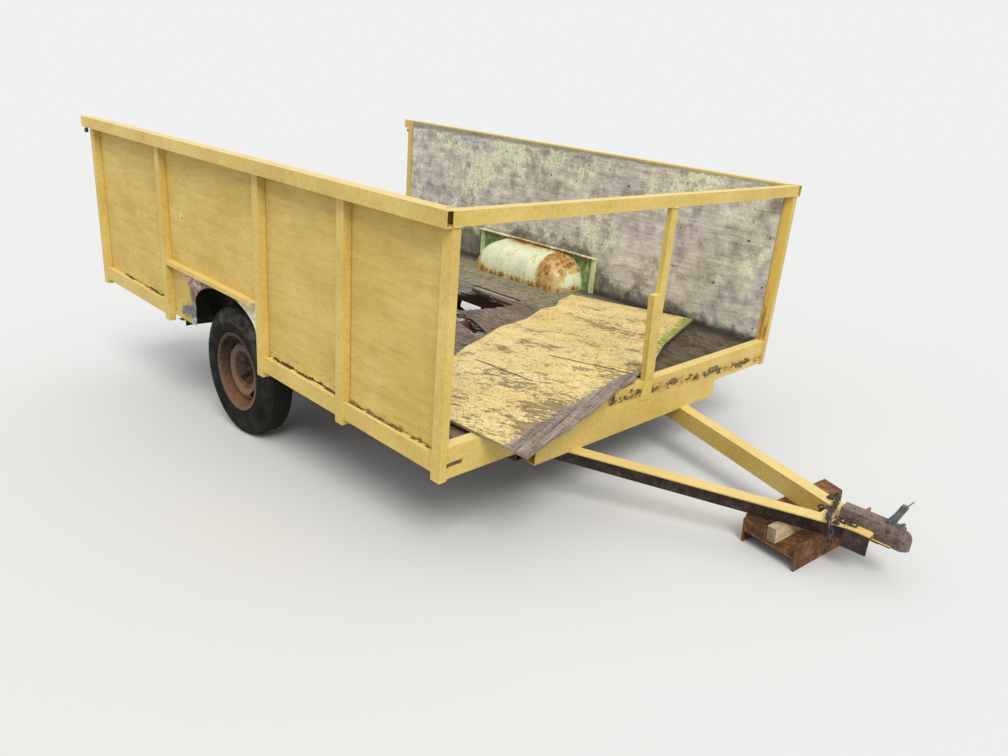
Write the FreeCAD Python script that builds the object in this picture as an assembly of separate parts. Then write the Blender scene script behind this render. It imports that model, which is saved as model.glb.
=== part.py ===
"""Single-axle utility trailer with tall board sides, parked nose-down on a steel stand.

Everything on the trailer is drawn in the bed frame: X forward with zero at the
front face of the bed, Y to the left with zero on the centre line, Z up with the
axle at HUB_Z.  `settle` then tips the finished solids about the wheel axis by
NOSE_DOWN_DEG, the angle at which the tongue rests on the stand, and sets the
tyres on the floor.  `main` moves everything so that the origin is under the
middle of the object.  All sizes are in millimetres.
"""

import os

import FreeCAD, Part
from math import atan2, cos, degrees, pi, radians, sin, sqrt, tan
from FreeCAD import Placement, Rotation, Vector

# Driving dimensions of the bed
BED_LENGTH = 3240.0
BED_WIDTH = 2386.0
POST_SIZE = 50.0
POST_DEPTH = 36.0
TUBE_WALL = 3.0
POST_BOTTOM_Z = 500.0
RAIL_TOP_Z = 1486.0
RAIL_HEIGHT = 58.0
RAIL_OVERLAP = 29.0
RAIL_REAR_OVERHANG = 45.0
REAR_MEMBER_INSET = 540.0
LEFT_RAIL_RISE = 32.0
FRONT_RAIL_HEIGHT = 52.0
FRONT_RAIL_DROP = 3.0
SHEET_THICKNESS = 12.0
SHEET_LENGTH = 2438.0
SHEET_TOP_DROP = 8.0
LEFT_SHEET_SHORTFALL = 75.0
RIGHT_SHEET_SHORTFALL = 30.0
FLOOR_TOP_Z = 614.0
FLOOR_THICKNESS = 28.0
FLOOR_BOARD_COUNT = 12
SILL_HEIGHT = 75.0
SIDE_SILL_BOTTOM_Z = 525.0
FRONT_SILL_BOTTOM_Z = 510.0
FRONT_SILL_TOP_Z = 638.0
FRONT_BEAM_GAP = 13.0
LEDGE_TOP_Z = 838.0
FRONT_POST_WIDTH = 45.0
FRONT_POST_DEPTH = 25.0
FRONT_POST_Y = 46.0
SPLICE_TOP_Z = 1050.0
SPLICE_TAPER = 350.0
SPLICE_LAP = 90.0

# Driving dimensions of the wheel bays
ARCH_AHEAD_OF_WHEEL = 40.0
ARCH_HALF_WIDTH = 322.0
ARCH_SPRING_BELOW_LEDGE = 178.0
ARCH_RISE = 140.0
SKIRT_BOTTOM_Z = 536.0
SKIRT_THICKNESS = 3.0
BAY_PANEL_FRONT_X = -1226.0
BAY_PANEL_REAR_X = -2307.0
BAY_PANEL_TOP_Z = 846.0
BAY_TRIM_WIDTH = 34.0
WHEELHOUSE_BASE_Z = 500.0
WHEELHOUSE_DEPTH = 288.0
WHEELHOUSE_FLOOR_GAP = 5.0

# Driving dimensions of the running gear
WHEEL_X = -1745.0
HUB_Z = 355.5
TYRE_DIAMETER = 686.0
TYRE_WIDTH = 165.0
TYRE_INSET = 258.0
RIM_SEAT_DIAMETER = 381.0
RIM_WIDTH = 127.0
WHEEL_BORE_RADIUS = 36.5
HUB_BARREL_RADIUS = 34.0
SPINDLE_RADIUS = 19.0
AXLE_DIAMETER = 60.0
SPRING_INSET = 478.0
SPRING_WIDTH = 45.0
SPRING_HALF_SPAN = 340.0
SPRING_CAMBER = 58.0
SPRING_EYE_RADIUS = 17.0
LEAF_THICKNESS = 7.0

# Driving dimensions of the tongue, the chain and the stand
TONGUE_TOP_Z = 420.0
TONGUE_LEG = 85.0
TONGUE_FLANGE = 66.0
TONGUE_WALL = 6.5
TONGUE_SPREAD_SHARE = 0.3227
TONGUE_REAR_X = -500.0
TONGUE_END_X = 1040.0
TONGUE_MEET_X = 1052.0
NOSE_END_X = 1133.0
NOSE_FRONT_HALF = 70.0
BALL_X = 1220.0
BALL_DIAMETER = 50.8
COUPLER_HEAD_RADIUS = 35.0
COUPLER_BOLT_SETBACKS = (155.0, 94.0)
LINK_WIRE = 3.5
LINK_HALF_LENGTH = 13.0
LINK_RADIUS = 9.0
STAND_DEPTH = 266.0
STAND_FLANGE = 9.0
STAND_WEB = 6.0
STAND_CONTACT_X = 966.0
STAND_YAW_DEG = -6.0
NOSE_DOWN_DEG = 4.65

# Sizes that follow from the driving ones
HALF_WIDTH = BED_WIDTH / 2
POST_INNER_Y = HALF_WIDTH - POST_DEPTH
SHEET_INNER_Y = POST_INNER_Y - SHEET_THICKNESS
RAIL_OUTER_Y = HALF_WIDTH + RAIL_OVERLAP
RAIL_BOTTOM_Z = RAIL_TOP_Z - RAIL_HEIGHT
RAIL_REAR_X = -BED_LENGTH - RAIL_REAR_OVERHANG
FRONT_RAIL_TOP_Z = RAIL_TOP_Z - FRONT_RAIL_DROP
FRONT_RAIL_BOTTOM_Z = FRONT_RAIL_TOP_Z - FRONT_RAIL_HEIGHT
SIDE_SILL_TOP_Z = SIDE_SILL_BOTTOM_Z + SILL_HEIGHT
FLOOR_UNDER_Z = FLOOR_TOP_Z - FLOOR_THICKNESS
CROSS_BOTTOM_Z = FLOOR_UNDER_Z - SILL_HEIGHT
TYRE_INNER_Y = HALF_WIDTH - TYRE_INSET
WHEEL_Y = TYRE_INNER_Y + TYRE_WIDTH / 2
SPRING_Y = HALF_WIDTH - SPRING_INSET
MAIN_RAIL_HALF = POST_SIZE / 2
FRONT_BEAM_HALF_LENGTH = SPRING_Y - MAIN_RAIL_HALF - FRONT_BEAM_GAP
SPRING_TOP_Z = HUB_Z - AXLE_DIAMETER / 2 - 0.1
SPRING_EYE_Z = SPRING_TOP_Z + SPRING_CAMBER - LEAF_THICKNESS / 2
LEAF_HALF_SPANS = [share * SPRING_HALF_SPAN for share in (1.0, 0.8, 0.6, 0.4)]
WHEELHOUSE_INNER_Y = HALF_WIDTH - WHEELHOUSE_DEPTH
ARCH_X = WHEEL_X + ARCH_AHEAD_OF_WHEEL
ARCH_SPRING_Z = LEDGE_TOP_Z - ARCH_SPRING_BELOW_LEDGE
TONGUE_BOTTOM_Z = TONGUE_TOP_Z - TONGUE_LEG
TONGUE_INNER_Y_AT_BED = TONGUE_SPREAD_SHARE * HALF_WIDTH
TONGUE_SLOPE = TONGUE_INNER_Y_AT_BED / TONGUE_MEET_X
BALL_Z = TONGUE_TOP_Z - 8

# Side posts: front face of each, measured back from the front of the bed
POST_FRONT_X = {
    "corner": 0.0, "fore": -620.0, "bay_front": -1270.0, "bay_rear": -2290.0,
    "rear": -BED_LENGTH + POST_SIZE,
}
BAY_FRONT_X = POST_FRONT_X["bay_front"] - POST_SIZE
BAY_REAR_X = POST_FRONT_X["bay_rear"]

# Cross members: front face of each, and how far their flanges reach back
CROSS_MEMBER_X = [-470.0, -880.0, -1230.0, -2225.0, -BED_LENGTH + REAR_MEMBER_INSET]
CROSS_FLANGE = 38.0
BOARD_JOINT_X = CROSS_MEMBER_X[3] - CROSS_FLANGE / 2

# Wheelhouse sections: (distance in from the side posts, half length, height of the top, corner radius)
WHEELHOUSE_SECTIONS = [
    (0.0, 422.0, 828.0, 190.0), (80.0, 419.0, 826.0, 188.0), (150.0, 410.0, 815.0, 180.0),
    (205.0, 394.0, 786.0, 158.0), (238.0, 370.0, 735.0, 118.0), (252.0, 345.0, 672.0, 60.0),
]

# Rotted holes in the floor: where each is, and its outline about that point
LONG_HOLE_AT = (-1450.0, 270.0)
LONG_HOLE = [
    (-250.0, 235.0), (-75.0, 229.0), (40.0, 204.0), (164.0, 202.0), (154.0, 52.0), (119.0, -76.0),
    (95.0, -175.0), (-50.0, -155.0), (-190.0, -30.0), (-290.0, 120.0),
]
SMALL_HOLE_AT = (-1080.0, -90.0)
SMALL_HOLE = [
    (-250.0, 120.0), (-222.0, 165.0), (-101.0, 131.0), (34.0, 74.0), (129.0, 29.0), (130.0, -1.0),
    (102.0, -33.0), (9.0, -5.0), (-86.0, 28.0), (-160.0, -10.0),
]

# Loose panel: outline of its underside as (x, share of the half width), from the front right corner round
PANEL_OUTLINE = [
    (252.0, -0.847), (196.0, -0.673), (183.0, -0.588), (149.0, -0.506), (128.0, -0.433), (98.0, -0.349),
    (59.0, -0.252), (13.0, -0.120), (-6.0, -0.022), (-36.0, 0.006), (-40.0, 0.096), (-240.0, 0.444),
    (-420.0, 0.905), (-1240.0, 0.796), (-1190.0, 0.645), (-1105.0, 0.545), (-1110.0, 0.436),
    (-1010.0, 0.251), (-985.0, 0.050), (-880.0, -0.151), (-830.0, -0.277), (-730.0, -0.427),
    (-690.0, -0.536), (-640.0, -0.687), (-570.0, -0.821), (-187.0, -0.838),
]
PANEL_EDGE_ANGLE = -70.8
PANEL_SILL_SHARE = -0.838

# Runs of the safety chain as (x, y, height over the tongue): over both members with one end hanging,
# a bight between the members, and a few slack links beside the coupler
CHAIN_RUNS = [
    [
        (912, 146, -18), (918, 142, 6), (930, 114, 16.5), (945, 60, 12.8), (958, 0, 12.8), (966, -50, 12.8),
        (985, -100, 16.5), (1000, -116, 6), (1010, -118, -22), (1014, -114, -54), (1016, -110, -80),
    ],
    [(931, 12, 1.8), (912, 12, -6), (904, 12, -48)],
    [(1004, -54, 12.52), (1024, -57, 12.52), (1044, -54, 12.52), (1064, -50, 12.52)],
]

# Ends of the stand's beam: y at its front and rear edges
STAND_ENDS = {"near": (-224.0, -178.0), "far": (334.0, 412.0)}


def box(x_min, x_max, y_min, y_max, z_min, z_max):
    """Block between two corners."""
    return Part.makeBox(x_max - x_min, y_max - y_min, z_max - z_min, Vector(x_min, y_min, z_min))


def mirror_y(shape):
    """Copy of a shape on the other side of the centre line."""
    return shape.mirror(Vector(0, 0, 0), Vector(0, 1, 0))


def join(shapes):
    """Fuse touching shapes into one solid."""
    return shapes[0].multiFuse(shapes[1:]).removeSplitter() if len(shapes) > 1 else shapes[0]


def gather(shapes):
    """Keep shapes that don't touch side by side in one node."""
    return Part.makeCompound([solid for shape in shapes for solid in shape.Solids])


def prism(points, direction):
    """Extrude a closed outline of 3-D points."""
    vectors = [Vector(*point) for point in points]
    return Part.Face(Part.makePolygon(vectors + vectors[:1])).extrude(Vector(*direction))


def cylinder(start, direction, radius, length):
    """Round bar from a start point."""
    return Part.makeCylinder(radius, length, Vector(*start), Vector(*direction))


def tube(x_min, x_max, y_min, y_max, z_min, z_max, along, wall=TUBE_WALL):
    """Rectangular steel tube, open at both ends of the axis named by `along`."""
    low = [x_min, y_min, z_min]
    high = [x_max, y_max, z_max]
    inner_low = [value + wall for value in low]
    inner_high = [value - wall for value in high]
    axis = "xyz".index(along)
    inner_low[axis] = low[axis] - 1
    inner_high[axis] = high[axis] + 1
    hollow = box(inner_low[0], inner_high[0], inner_low[1], inner_high[1], inner_low[2], inner_high[2])
    return box(x_min, x_max, y_min, y_max, z_min, z_max).cut(hollow)


def channel_across(x_web, flange, y_min, y_max, z_min, z_max, wall=5.0):
    """Channel lying across the trailer: web at x_web, flanges reaching back by `flange`."""
    outer = box(x_web - flange, x_web, y_min, y_max, z_min, z_max)
    hollow = box(x_web - flange - 1, x_web - wall, y_min - 1, y_max + 1, z_min + wall, z_max - wall)
    return outer.cut(hollow)


# Bed frame

def build_front_sill():
    """Deep folded sill across the front, between the corner posts."""
    return tube(-POST_SIZE, 0, -POST_INNER_Y, POST_INNER_Y, FRONT_SILL_BOTTOM_Z, FRONT_SILL_TOP_Z, "y")


def build_rear_sill():
    """Sill across the open tail of the bed."""
    x_rear = -BED_LENGTH
    return tube(x_rear, x_rear + POST_SIZE, -POST_INNER_Y, POST_INNER_Y, CROSS_BOTTOM_Z, FLOOR_UNDER_Z, "y")


def build_side_sills():
    """Left side sill: lengths of tube set between the posts, with none in the wheel bay."""
    y_min, y_max = POST_INNER_Y - 6, HALF_WIDTH - 8
    pairs = [("corner", "fore"), ("fore", "bay_front"), ("bay_rear", "rear")]
    lengths = []
    for ahead, behind in pairs:
        x_max = POST_FRONT_X[ahead] - POST_SIZE
        x_min = POST_FRONT_X[behind]
        lengths.append(tube(x_min, x_max, y_min, y_max, SIDE_SILL_BOTTOM_Z, SIDE_SILL_TOP_Z, "x"))
    return gather(lengths)


def build_cross_members():
    """Channels under the floor, from side sill to side sill."""
    reach = POST_INNER_Y - 6
    channels = []
    for x in CROSS_MEMBER_X:
        channels.append(channel_across(x, CROSS_FLANGE, -reach, reach, CROSS_BOTTOM_Z, FLOOR_UNDER_Z))
    return gather(channels)


def build_main_rail():
    """Left main rail: box section under the cross members, over the springs."""
    y_min, y_max = SPRING_Y - MAIN_RAIL_HALF, SPRING_Y + MAIN_RAIL_HALF
    z_min = CROSS_BOTTOM_Z - SILL_HEIGHT
    return tube(-BED_LENGTH + POST_SIZE, -POST_SIZE, y_min, y_max, z_min, CROSS_BOTTOM_Z, "x")


def build_front_beam():
    """Shorter beam under the front sill; the tongue is welded to its underside."""
    half = FRONT_BEAM_HALF_LENGTH
    return tube(-POST_SIZE + 4, 0, -half, half, TONGUE_TOP_Z, FRONT_SILL_BOTTOM_Z, "y")


def build_tongue_rear_beam():
    """Channel between the main rails that takes the rear ends of the tongue."""
    reach = SPRING_Y - MAIN_RAIL_HALF
    return channel_across(TONGUE_REAR_X + 42, 42, -reach, reach, TONGUE_TOP_Z, CROSS_BOTTOM_Z)


# Sides and front

def trim_under_rail(shape, drop, rise):
    """Cut a left-side shape along a line `drop` below the top rail, which climbs by `rise` to the tail."""
    slope = rise / BED_LENGTH
    z_front = RAIL_TOP_Z - drop
    x_ahead, x_behind = 100.0, -2 * BED_LENGTH
    outline = [
        (x_ahead, 0, z_front - slope * x_ahead), (x_behind, 0, z_front - slope * x_behind),
        (x_behind, 0, 2 * RAIL_TOP_Z), (x_ahead, 0, 2 * RAIL_TOP_Z),
    ]
    return shape.cut(prism(outline, (0, BED_WIDTH, 0)))


def build_side_posts(rise):
    """Left side posts, from below the sill to the underside of the top rail."""
    posts = []
    for x_front in POST_FRONT_X.values():
        z_max = RAIL_BOTTOM_Z + rise + 20
        post = tube(x_front - POST_SIZE, x_front, POST_INNER_Y, HALF_WIDTH, POST_BOTTOM_Z, z_max, "z")
        posts.append(trim_under_rail(post, RAIL_HEIGHT, rise))
    return gather(posts)


def build_front_rail():
    """Front top rail, running to the outside of the corner posts."""
    return tube(-POST_SIZE, 0, -HALF_WIDTH, HALF_WIDTH, FRONT_RAIL_BOTTOM_Z, FRONT_RAIL_TOP_Z, "y")


def build_side_rail(rise):
    """Left top rail, with an open front end and a notch for the front rail."""
    rail = tube(RAIL_REAR_X, 0, POST_INNER_Y, RAIL_OUTER_Y, RAIL_BOTTOM_Z, RAIL_TOP_Z, "x")
    rail.rotate(Vector(0, 0, RAIL_BOTTOM_Z), Vector(0, 1, 0), degrees(atan2(rise, BED_LENGTH)))
    notch = box(-POST_SIZE, 10, POST_INNER_Y - 1, HALF_WIDTH, RAIL_BOTTOM_Z - 1, RAIL_TOP_Z + 10)
    return rail.cut(notch)


def build_corner_packer():
    """Short pieces that fill between the corner posts and the front rail."""
    left = box(-POST_SIZE, 0, POST_INNER_Y, HALF_WIDTH, RAIL_BOTTOM_Z, FRONT_RAIL_BOTTOM_Z)
    right = mirror_y(left)
    step = trim_under_rail(box(-POST_SIZE, 0, POST_INNER_Y, HALF_WIDTH, POST_BOTTOM_Z, FRONT_RAIL_BOTTOM_Z),
                           RAIL_HEIGHT, LEFT_RAIL_RISE)
    return gather([left.cut(step), right])


def build_front_post():
    """Middle post of the open front frame."""
    y_max = FRONT_POST_Y + FRONT_POST_WIDTH
    return tube(-FRONT_POST_DEPTH, 0, FRONT_POST_Y, y_max, FRONT_SILL_TOP_Z, FRONT_RAIL_BOTTOM_Z, "z")


def build_front_post_splice():
    """Leaning bar beside the lower half of the middle post, with a plate that laps over the sill face."""
    y_post, y_far = FRONT_POST_Y, FRONT_POST_Y + FRONT_POST_WIDTH - 1
    z_foot, z_top = FRONT_SILL_TOP_Z, SPLICE_TOP_Z
    bar = prism(
        [(0, y_post - 47, z_top), (0, y_post, z_top), (0, y_post, z_foot), (0, y_post - 14, z_foot)],
        (-FRONT_POST_DEPTH, 0, 0),
    )
    plate = prism(
        [
            (0, y_post - 47, z_top), (0, y_post + 10, z_top), (0, y_far, z_top - SPLICE_TAPER),
            (0, y_far, z_foot - SPLICE_LAP), (0, y_post - 38, z_foot - SPLICE_LAP),
            (0, y_post - 18, z_foot),
        ],
        (6, 0, 0),
    )
    return join([bar, plate])


def side_sheet(x_min, x_max, rise):
    """Plywood sheet of the left side, cut away over the wheel bay."""
    y_min, y_max = SHEET_INNER_Y, POST_INNER_Y
    sheet = box(x_min, x_max, y_min, y_max, SIDE_SILL_TOP_Z, RAIL_TOP_Z + rise + 20)
    bay = box(BAY_REAR_X, BAY_FRONT_X, y_min - 1, y_max + 1, SIDE_SILL_TOP_Z - 1, LEDGE_TOP_Z)
    return trim_under_rail(sheet.cut(bay), SHEET_TOP_DROP, rise)


def build_fore_sheet(rise):
    """Front plywood sheet of the left side."""
    return side_sheet(-SHEET_LENGTH, -POST_SIZE, rise)


def build_aft_sheet(shortfall, rise):
    """Rear plywood sheet of the left side, ending `shortfall` before the tail."""
    return side_sheet(-BED_LENGTH + shortfall, -SHEET_LENGTH - 2, rise)


def build_rear_hook(rise):
    """Tailgate hook under the rear end of the left top rail."""
    x_mid = RAIL_REAR_X + 10
    y_min, y_max = RAIL_OUTER_Y - 30, RAIL_OUTER_Y - 18
    z_rail = RAIL_BOTTOM_Z - rise * (x_mid - 6) / BED_LENGTH
    hook = join([
        box(x_mid - 6, x_mid + 6, y_min, y_max, z_rail - 34, z_rail + 1),
        box(x_mid - 24, x_mid + 6, y_min, y_max, z_rail - 34, z_rail - 24),
        box(x_mid - 24, x_mid - 14, y_min, y_max, z_rail - 34, z_rail - 12),
    ])
    return trim_under_rail(hook, RAIL_HEIGHT, rise)


# Wheel bay

def build_bay_ledge():
    """Angle iron under the side sheet over the wheel bay, cut on the slant at its front end."""
    z_max = LEDGE_TOP_Z
    outline = [
        (BAY_REAR_X, POST_INNER_Y, z_max), (BAY_REAR_X, HALF_WIDTH, z_max),
        (BAY_FRONT_X - 52, HALF_WIDTH, z_max), (BAY_FRONT_X, POST_INNER_Y, z_max),
    ]
    shelf = prism(outline, (0, 0, -5))
    lip = box(BAY_REAR_X, BAY_FRONT_X - 52, HALF_WIDTH - 5, HALF_WIDTH, z_max - 22, z_max)
    return join([shelf, lip])


def arch_face(y):
    """Outline of the wheel arch in the plane of `y`: straight sides with a half ellipse over them."""
    z_base = SKIRT_BOTTOM_Z - 10
    rear = Vector(ARCH_X - ARCH_HALF_WIDTH, y, ARCH_SPRING_Z)
    front = Vector(ARCH_X + ARCH_HALF_WIDTH, y, ARCH_SPRING_Z)
    rear_base = Vector(rear.x, y, z_base)
    front_base = Vector(front.x, y, z_base)
    crown = Vector(ARCH_X, y, ARCH_SPRING_Z + ARCH_RISE)
    ellipse = Part.Ellipse(front, crown, Vector(ARCH_X, y, ARCH_SPRING_Z))
    edges = [
        Part.Arc(ellipse, 0, pi).toShape(),
        Part.makeLine(rear, rear_base),
        Part.makeLine(rear_base, front_base),
        Part.makeLine(front_base, front),
    ]
    return Part.Face(Part.Wire(Part.__sortEdges__(edges)))


def build_arch_skirt():
    """Steel skirt of the left wheel bay with its arch, on the plane of the side sheet."""
    y_outer = POST_INNER_Y + SKIRT_THICKNESS
    plate = box(BAY_REAR_X, BAY_FRONT_X, POST_INNER_Y, y_outer, SKIRT_BOTTOM_Z, LEDGE_TOP_Z - 5)
    return plate.cut(arch_face(POST_INNER_Y - 10).extrude(Vector(0, 30, 0)))


def wheelhouse_section(y, half, z_top, radius):
    """Rounded outline of the wheelhouse in the plane of `y`."""
    x_rear, x_front = WHEEL_X - half, WHEEL_X + half
    z_base, z_spring = WHEELHOUSE_BASE_Z, z_top - radius
    bend = radius * (1 - cos(pi / 4))
    rear_base, rear = Vector(x_rear, y, z_base), Vector(x_rear, y, z_spring)
    front_base, front = Vector(x_front, y, z_base), Vector(x_front, y, z_spring)
    top_rear, top_front = Vector(x_rear + radius, y, z_top), Vector(x_front - radius, y, z_top)
    rear_mid = Vector(x_rear + bend, y, z_top - bend)
    front_mid = Vector(x_front - bend, y, z_top - bend)
    return Part.Wire([
        Part.makeLine(rear_base, rear),
        Part.Arc(rear, rear_mid, top_rear).toShape(),
        Part.makeLine(top_rear, top_front),
        Part.Arc(top_front, front_mid, front).toShape(),
        Part.makeLine(front, front_base),
        Part.makeLine(front_base, rear_base),
    ])


def wheelhouse_body(inset):
    """Solid drum of the left wheelhouse, drawn smaller on all sides by `inset`."""
    wires = []
    for index, (reach, half, z_top, radius) in enumerate(WHEELHOUSE_SECTIONS):
        y = POST_INNER_Y - reach
        if index == len(WHEELHOUSE_SECTIONS) - 1:
            y = WHEELHOUSE_INNER_Y + inset
        wires.append(wheelhouse_section(y, half - inset, z_top - inset, radius - inset))
    return Part.makeLoft(wires, True, False)


def build_wheelhouse():
    """Pressed steel drum over the left wheel, open at the side and at the bottom."""
    drum = wheelhouse_body(0)
    hollow = wheelhouse_body(3)
    return drum.cut(hollow)


def build_bay_frame():
    """Pressed panel over the inside of the left wheel bay, with a ledge and end strips round the drum."""
    y_face, y_sheet = SHEET_INNER_Y - 3, SHEET_INNER_Y
    x_rear, x_front = BAY_PANEL_REAR_X, BAY_PANEL_FRONT_X
    z_ledge = BAY_PANEL_TOP_Z - 6
    shapes = [
        box(x_rear, x_front, y_face, y_sheet, FLOOR_TOP_Z, BAY_PANEL_TOP_Z),
        box(x_rear, x_front, y_face - 26, y_face, z_ledge, BAY_PANEL_TOP_Z),
        box(x_rear, x_rear + BAY_TRIM_WIDTH, y_face - 8, y_face, FLOOR_TOP_Z, z_ledge),
        box(x_front - BAY_TRIM_WIDTH, x_front, y_face - 8, y_face, FLOOR_TOP_Z, z_ledge),
        box(BAY_REAR_X, BAY_FRONT_X, y_sheet, POST_INNER_Y, LEDGE_TOP_Z - 4, LEDGE_TOP_Z),
    ]
    return join(shapes).cut(wheelhouse_body(-0.3))


# Floor

def placed(outline, at):
    """Outline moved so that its zero is at a point of the floor."""
    return [(at[0] + x, at[1] + y, WHEELHOUSE_BASE_Z) for x, y in outline]


def build_floor_boards():
    """Lengthwise boards in two lengths with two rotted holes, cut round the wheelhouses."""
    pitch = 2 * SHEET_INNER_Y / FLOOR_BOARD_COUNT
    lengths = [(-BED_LENGTH, BOARD_JOINT_X - 1), (BOARD_JOINT_X + 1, -POST_SIZE)]
    boards = []
    for index in range(FLOOR_BOARD_COUNT):
        y_min = -SHEET_INNER_Y + index * pitch
        for x_min, x_max in lengths:
            boards.append(box(x_min, x_max, y_min + 1.5, y_min + pitch - 1.5, FLOOR_UNDER_Z, FLOOR_TOP_Z))
    height = (0, 0, RAIL_BOTTOM_Z - WHEELHOUSE_BASE_Z)
    rotted = [(LONG_HOLE, LONG_HOLE_AT), (SMALL_HOLE, SMALL_HOLE_AT)]
    holes = [prism(placed(outline, at), height) for outline, at in rotted]
    gap = WHEELHOUSE_FLOOR_GAP
    clear_of_drum = [(POST_INNER_Y - reach, half + gap) for reach, half, _, _ in WHEELHOUSE_SECTIONS[:-1]]
    clear_of_drum.append((WHEELHOUSE_INNER_Y - gap, WHEELHOUSE_SECTIONS[-1][1] + gap))
    for side in (1, -1):
        front = [(WHEEL_X + half, side * y, WHEELHOUSE_BASE_Z) for y, half in clear_of_drum]
        rear = [(WHEEL_X - half, side * y, WHEELHOUSE_BASE_Z) for y, half in reversed(clear_of_drum)]
        holes.append(prism(front + rear, height))
    cutter = holes[0].multiFuse(holes[1:])
    return gather([board.cut(cutter) for board in boards])


def build_loose_panel():
    """Fallen front panel, its broken rear edge on the floor and its front edge over the front sill."""
    outline = [(x, share * HALF_WIDTH, FLOOR_TOP_Z) for x, share in PANEL_OUTLINE]
    edge = Vector(cos(radians(PANEL_EDGE_ANGLE)), sin(radians(PANEL_EDGE_ANGLE)), 0)
    across = Vector(-edge.y, edge.x, 0)
    nearest = min(Vector(x, y, 0).dot(across) for x, y, _ in outline)
    hinge = across * nearest
    reach = Vector(-POST_SIZE, PANEL_SILL_SHARE * HALF_WIDTH, 0).dot(across) - nearest
    slope = degrees(atan2(FRONT_SILL_TOP_Z - FLOOR_TOP_Z + 0.5, reach))
    sheet = prism(outline, (0, 0, SHEET_THICKNESS))
    sheet.rotate(Vector(hinge.x, hinge.y, FLOOR_TOP_Z), edge, slope)
    return sheet


# Running gear

def revolve_y(profile, x, y, z):
    """Ring from a closed profile of (offset along Y, radius) points about an axis along Y."""
    vectors = [Vector(x, y + offset, z + radius) for offset, radius in profile]
    face = Part.Face(Part.makePolygon(vectors + vectors[:1]))
    return face.revolve(Vector(x, y, z), Vector(0, 1, 0), 360)


def build_axle():
    """Round axle tube with stub spindles."""
    half = TYRE_INNER_Y - 30
    bar = cylinder((WHEEL_X, -half, HUB_Z), (0, 1, 0), AXLE_DIAMETER / 2, 2 * half)
    spindle = cylinder((WHEEL_X, -WHEEL_Y - 20, HUB_Z), (0, 1, 0), SPINDLE_RADIUS, 2 * (WHEEL_Y + 20))
    return join([bar, spindle])


def build_hub():
    """Left hub: flange, barrel and dust cap, bored for the spindle."""
    bore = SPINDLE_RADIUS + 0.5
    flange = 0.19 * RIM_SEAT_DIAMETER
    barrel = HUB_BARREL_RADIUS
    profile = [
        (-52, bore), (-52, 42), (-6, 42), (-6, flange), (6, flange), (6, barrel), (30, barrel),
        (34, barrel - 2), (46, barrel - 4), (52, barrel - 12), (52, 0), (30, 0), (30, bore),
    ]
    return revolve_y(profile, WHEEL_X, WHEEL_Y, HUB_Z)


def wheel_profile():
    """Section of the rim and its disc: (offset from the wheel's middle, radius)."""
    seat = RIM_SEAT_DIAMETER / 2
    half = RIM_WIDTH / 2
    return [
        (-half - 8, seat + 17), (-half - 2, seat + 17), (-half, seat + 2), (-half + 20, seat),
        (-half + 34, 0.885 * seat), (0, 0.885 * seat), (14, 0.885 * seat), (24, seat), (half, seat + 2),
        (half + 2, seat + 17), (half + 8, seat + 17), (half + 6, seat - 2), (28, seat - 5),
        (20, 0.864 * seat), (30, 0.79 * seat), (38, 0.675 * seat), (30, 0.559 * seat), (22, 0.496 * seat),
        (12, 0.412 * seat), (12, WHEEL_BORE_RADIUS), (6, WHEEL_BORE_RADIUS), (6, 0.412 * seat),
        (17, 0.512 * seat), (25, 0.57 * seat), (32, 0.675 * seat), (25, 0.78 * seat), (14, 0.858 * seat),
        (-half + 31, 0.858 * seat), (-half + 16, seat - 5), (-half - 6, seat - 2),
    ]


def build_wheel():
    """Left wheel: pressed disc in a drop-centre rim, with slots round the edge of the disc."""
    wheel = revolve_y(wheel_profile(), WHEEL_X, WHEEL_Y, HUB_Z)
    seat = RIM_SEAT_DIAMETER / 2
    slots = []
    for index in range(4):
        slot = box(-0.23 * seat, 0.23 * seat, -20, 60, 0.685 * seat, 0.79 * seat)
        slot.rotate(Vector(0, 0, 0), Vector(0, 1, 0), 45 + 90 * index)
        slot.translate(Vector(WHEEL_X, WHEEL_Y, HUB_Z))
        slots.append(slot)
    return wheel.cut(slots[0].multiFuse(slots[1:]))


def build_lug_nuts():
    """Five wheel nuts on the left wheel's disc."""
    circle = 0.15 * RIM_SEAT_DIAMETER
    nuts = []
    for index in range(5):
        angle = 2 * pi * index / 5
        start = (WHEEL_X + circle * sin(angle), WHEEL_Y + 12, HUB_Z + circle * cos(angle))
        nuts.append(cylinder(start, (0, 1, 0), 0.0276 * RIM_SEAT_DIAMETER, 14))
    return gather(nuts)


def build_tyre():
    """Left tyre: worn bias-ply section with a shallow crowned tread."""
    outer = TYRE_DIAMETER / 2
    half = TYRE_WIDTH / 2
    bead = RIM_SEAT_DIAMETER / 2
    wall = outer - bead
    profile = [
        (-64, bead + 0.11 * wall), (-72, bead + 0.16 * wall), (-half, bead + 0.44 * wall),
        (-half + 2, bead + 0.61 * wall), (-70, bead + 0.79 * wall), (-62, bead + 0.93 * wall),
        (-50, outer - 3), (0, outer), (50, outer - 3), (62, bead + 0.93 * wall), (70, bead + 0.79 * wall),
        (half - 2, bead + 0.61 * wall), (half, bead + 0.44 * wall), (72, bead + 0.16 * wall),
        (64, bead + 0.11 * wall), (63, bead + 3), (48, bead + 4), (58, bead + 0.18 * wall),
        (66, bead + 0.45 * wall), (60, bead + 0.82 * wall), (44, bead + 0.9 * wall), (0, outer - 12),
        (-44, bead + 0.9 * wall), (-60, bead + 0.82 * wall), (-66, bead + 0.45 * wall),
        (-58, bead + 0.18 * wall), (-48, bead + 4), (-63, bead + 3),
    ]
    return revolve_y(profile, WHEEL_X, WHEEL_Y, HUB_Z)


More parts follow.
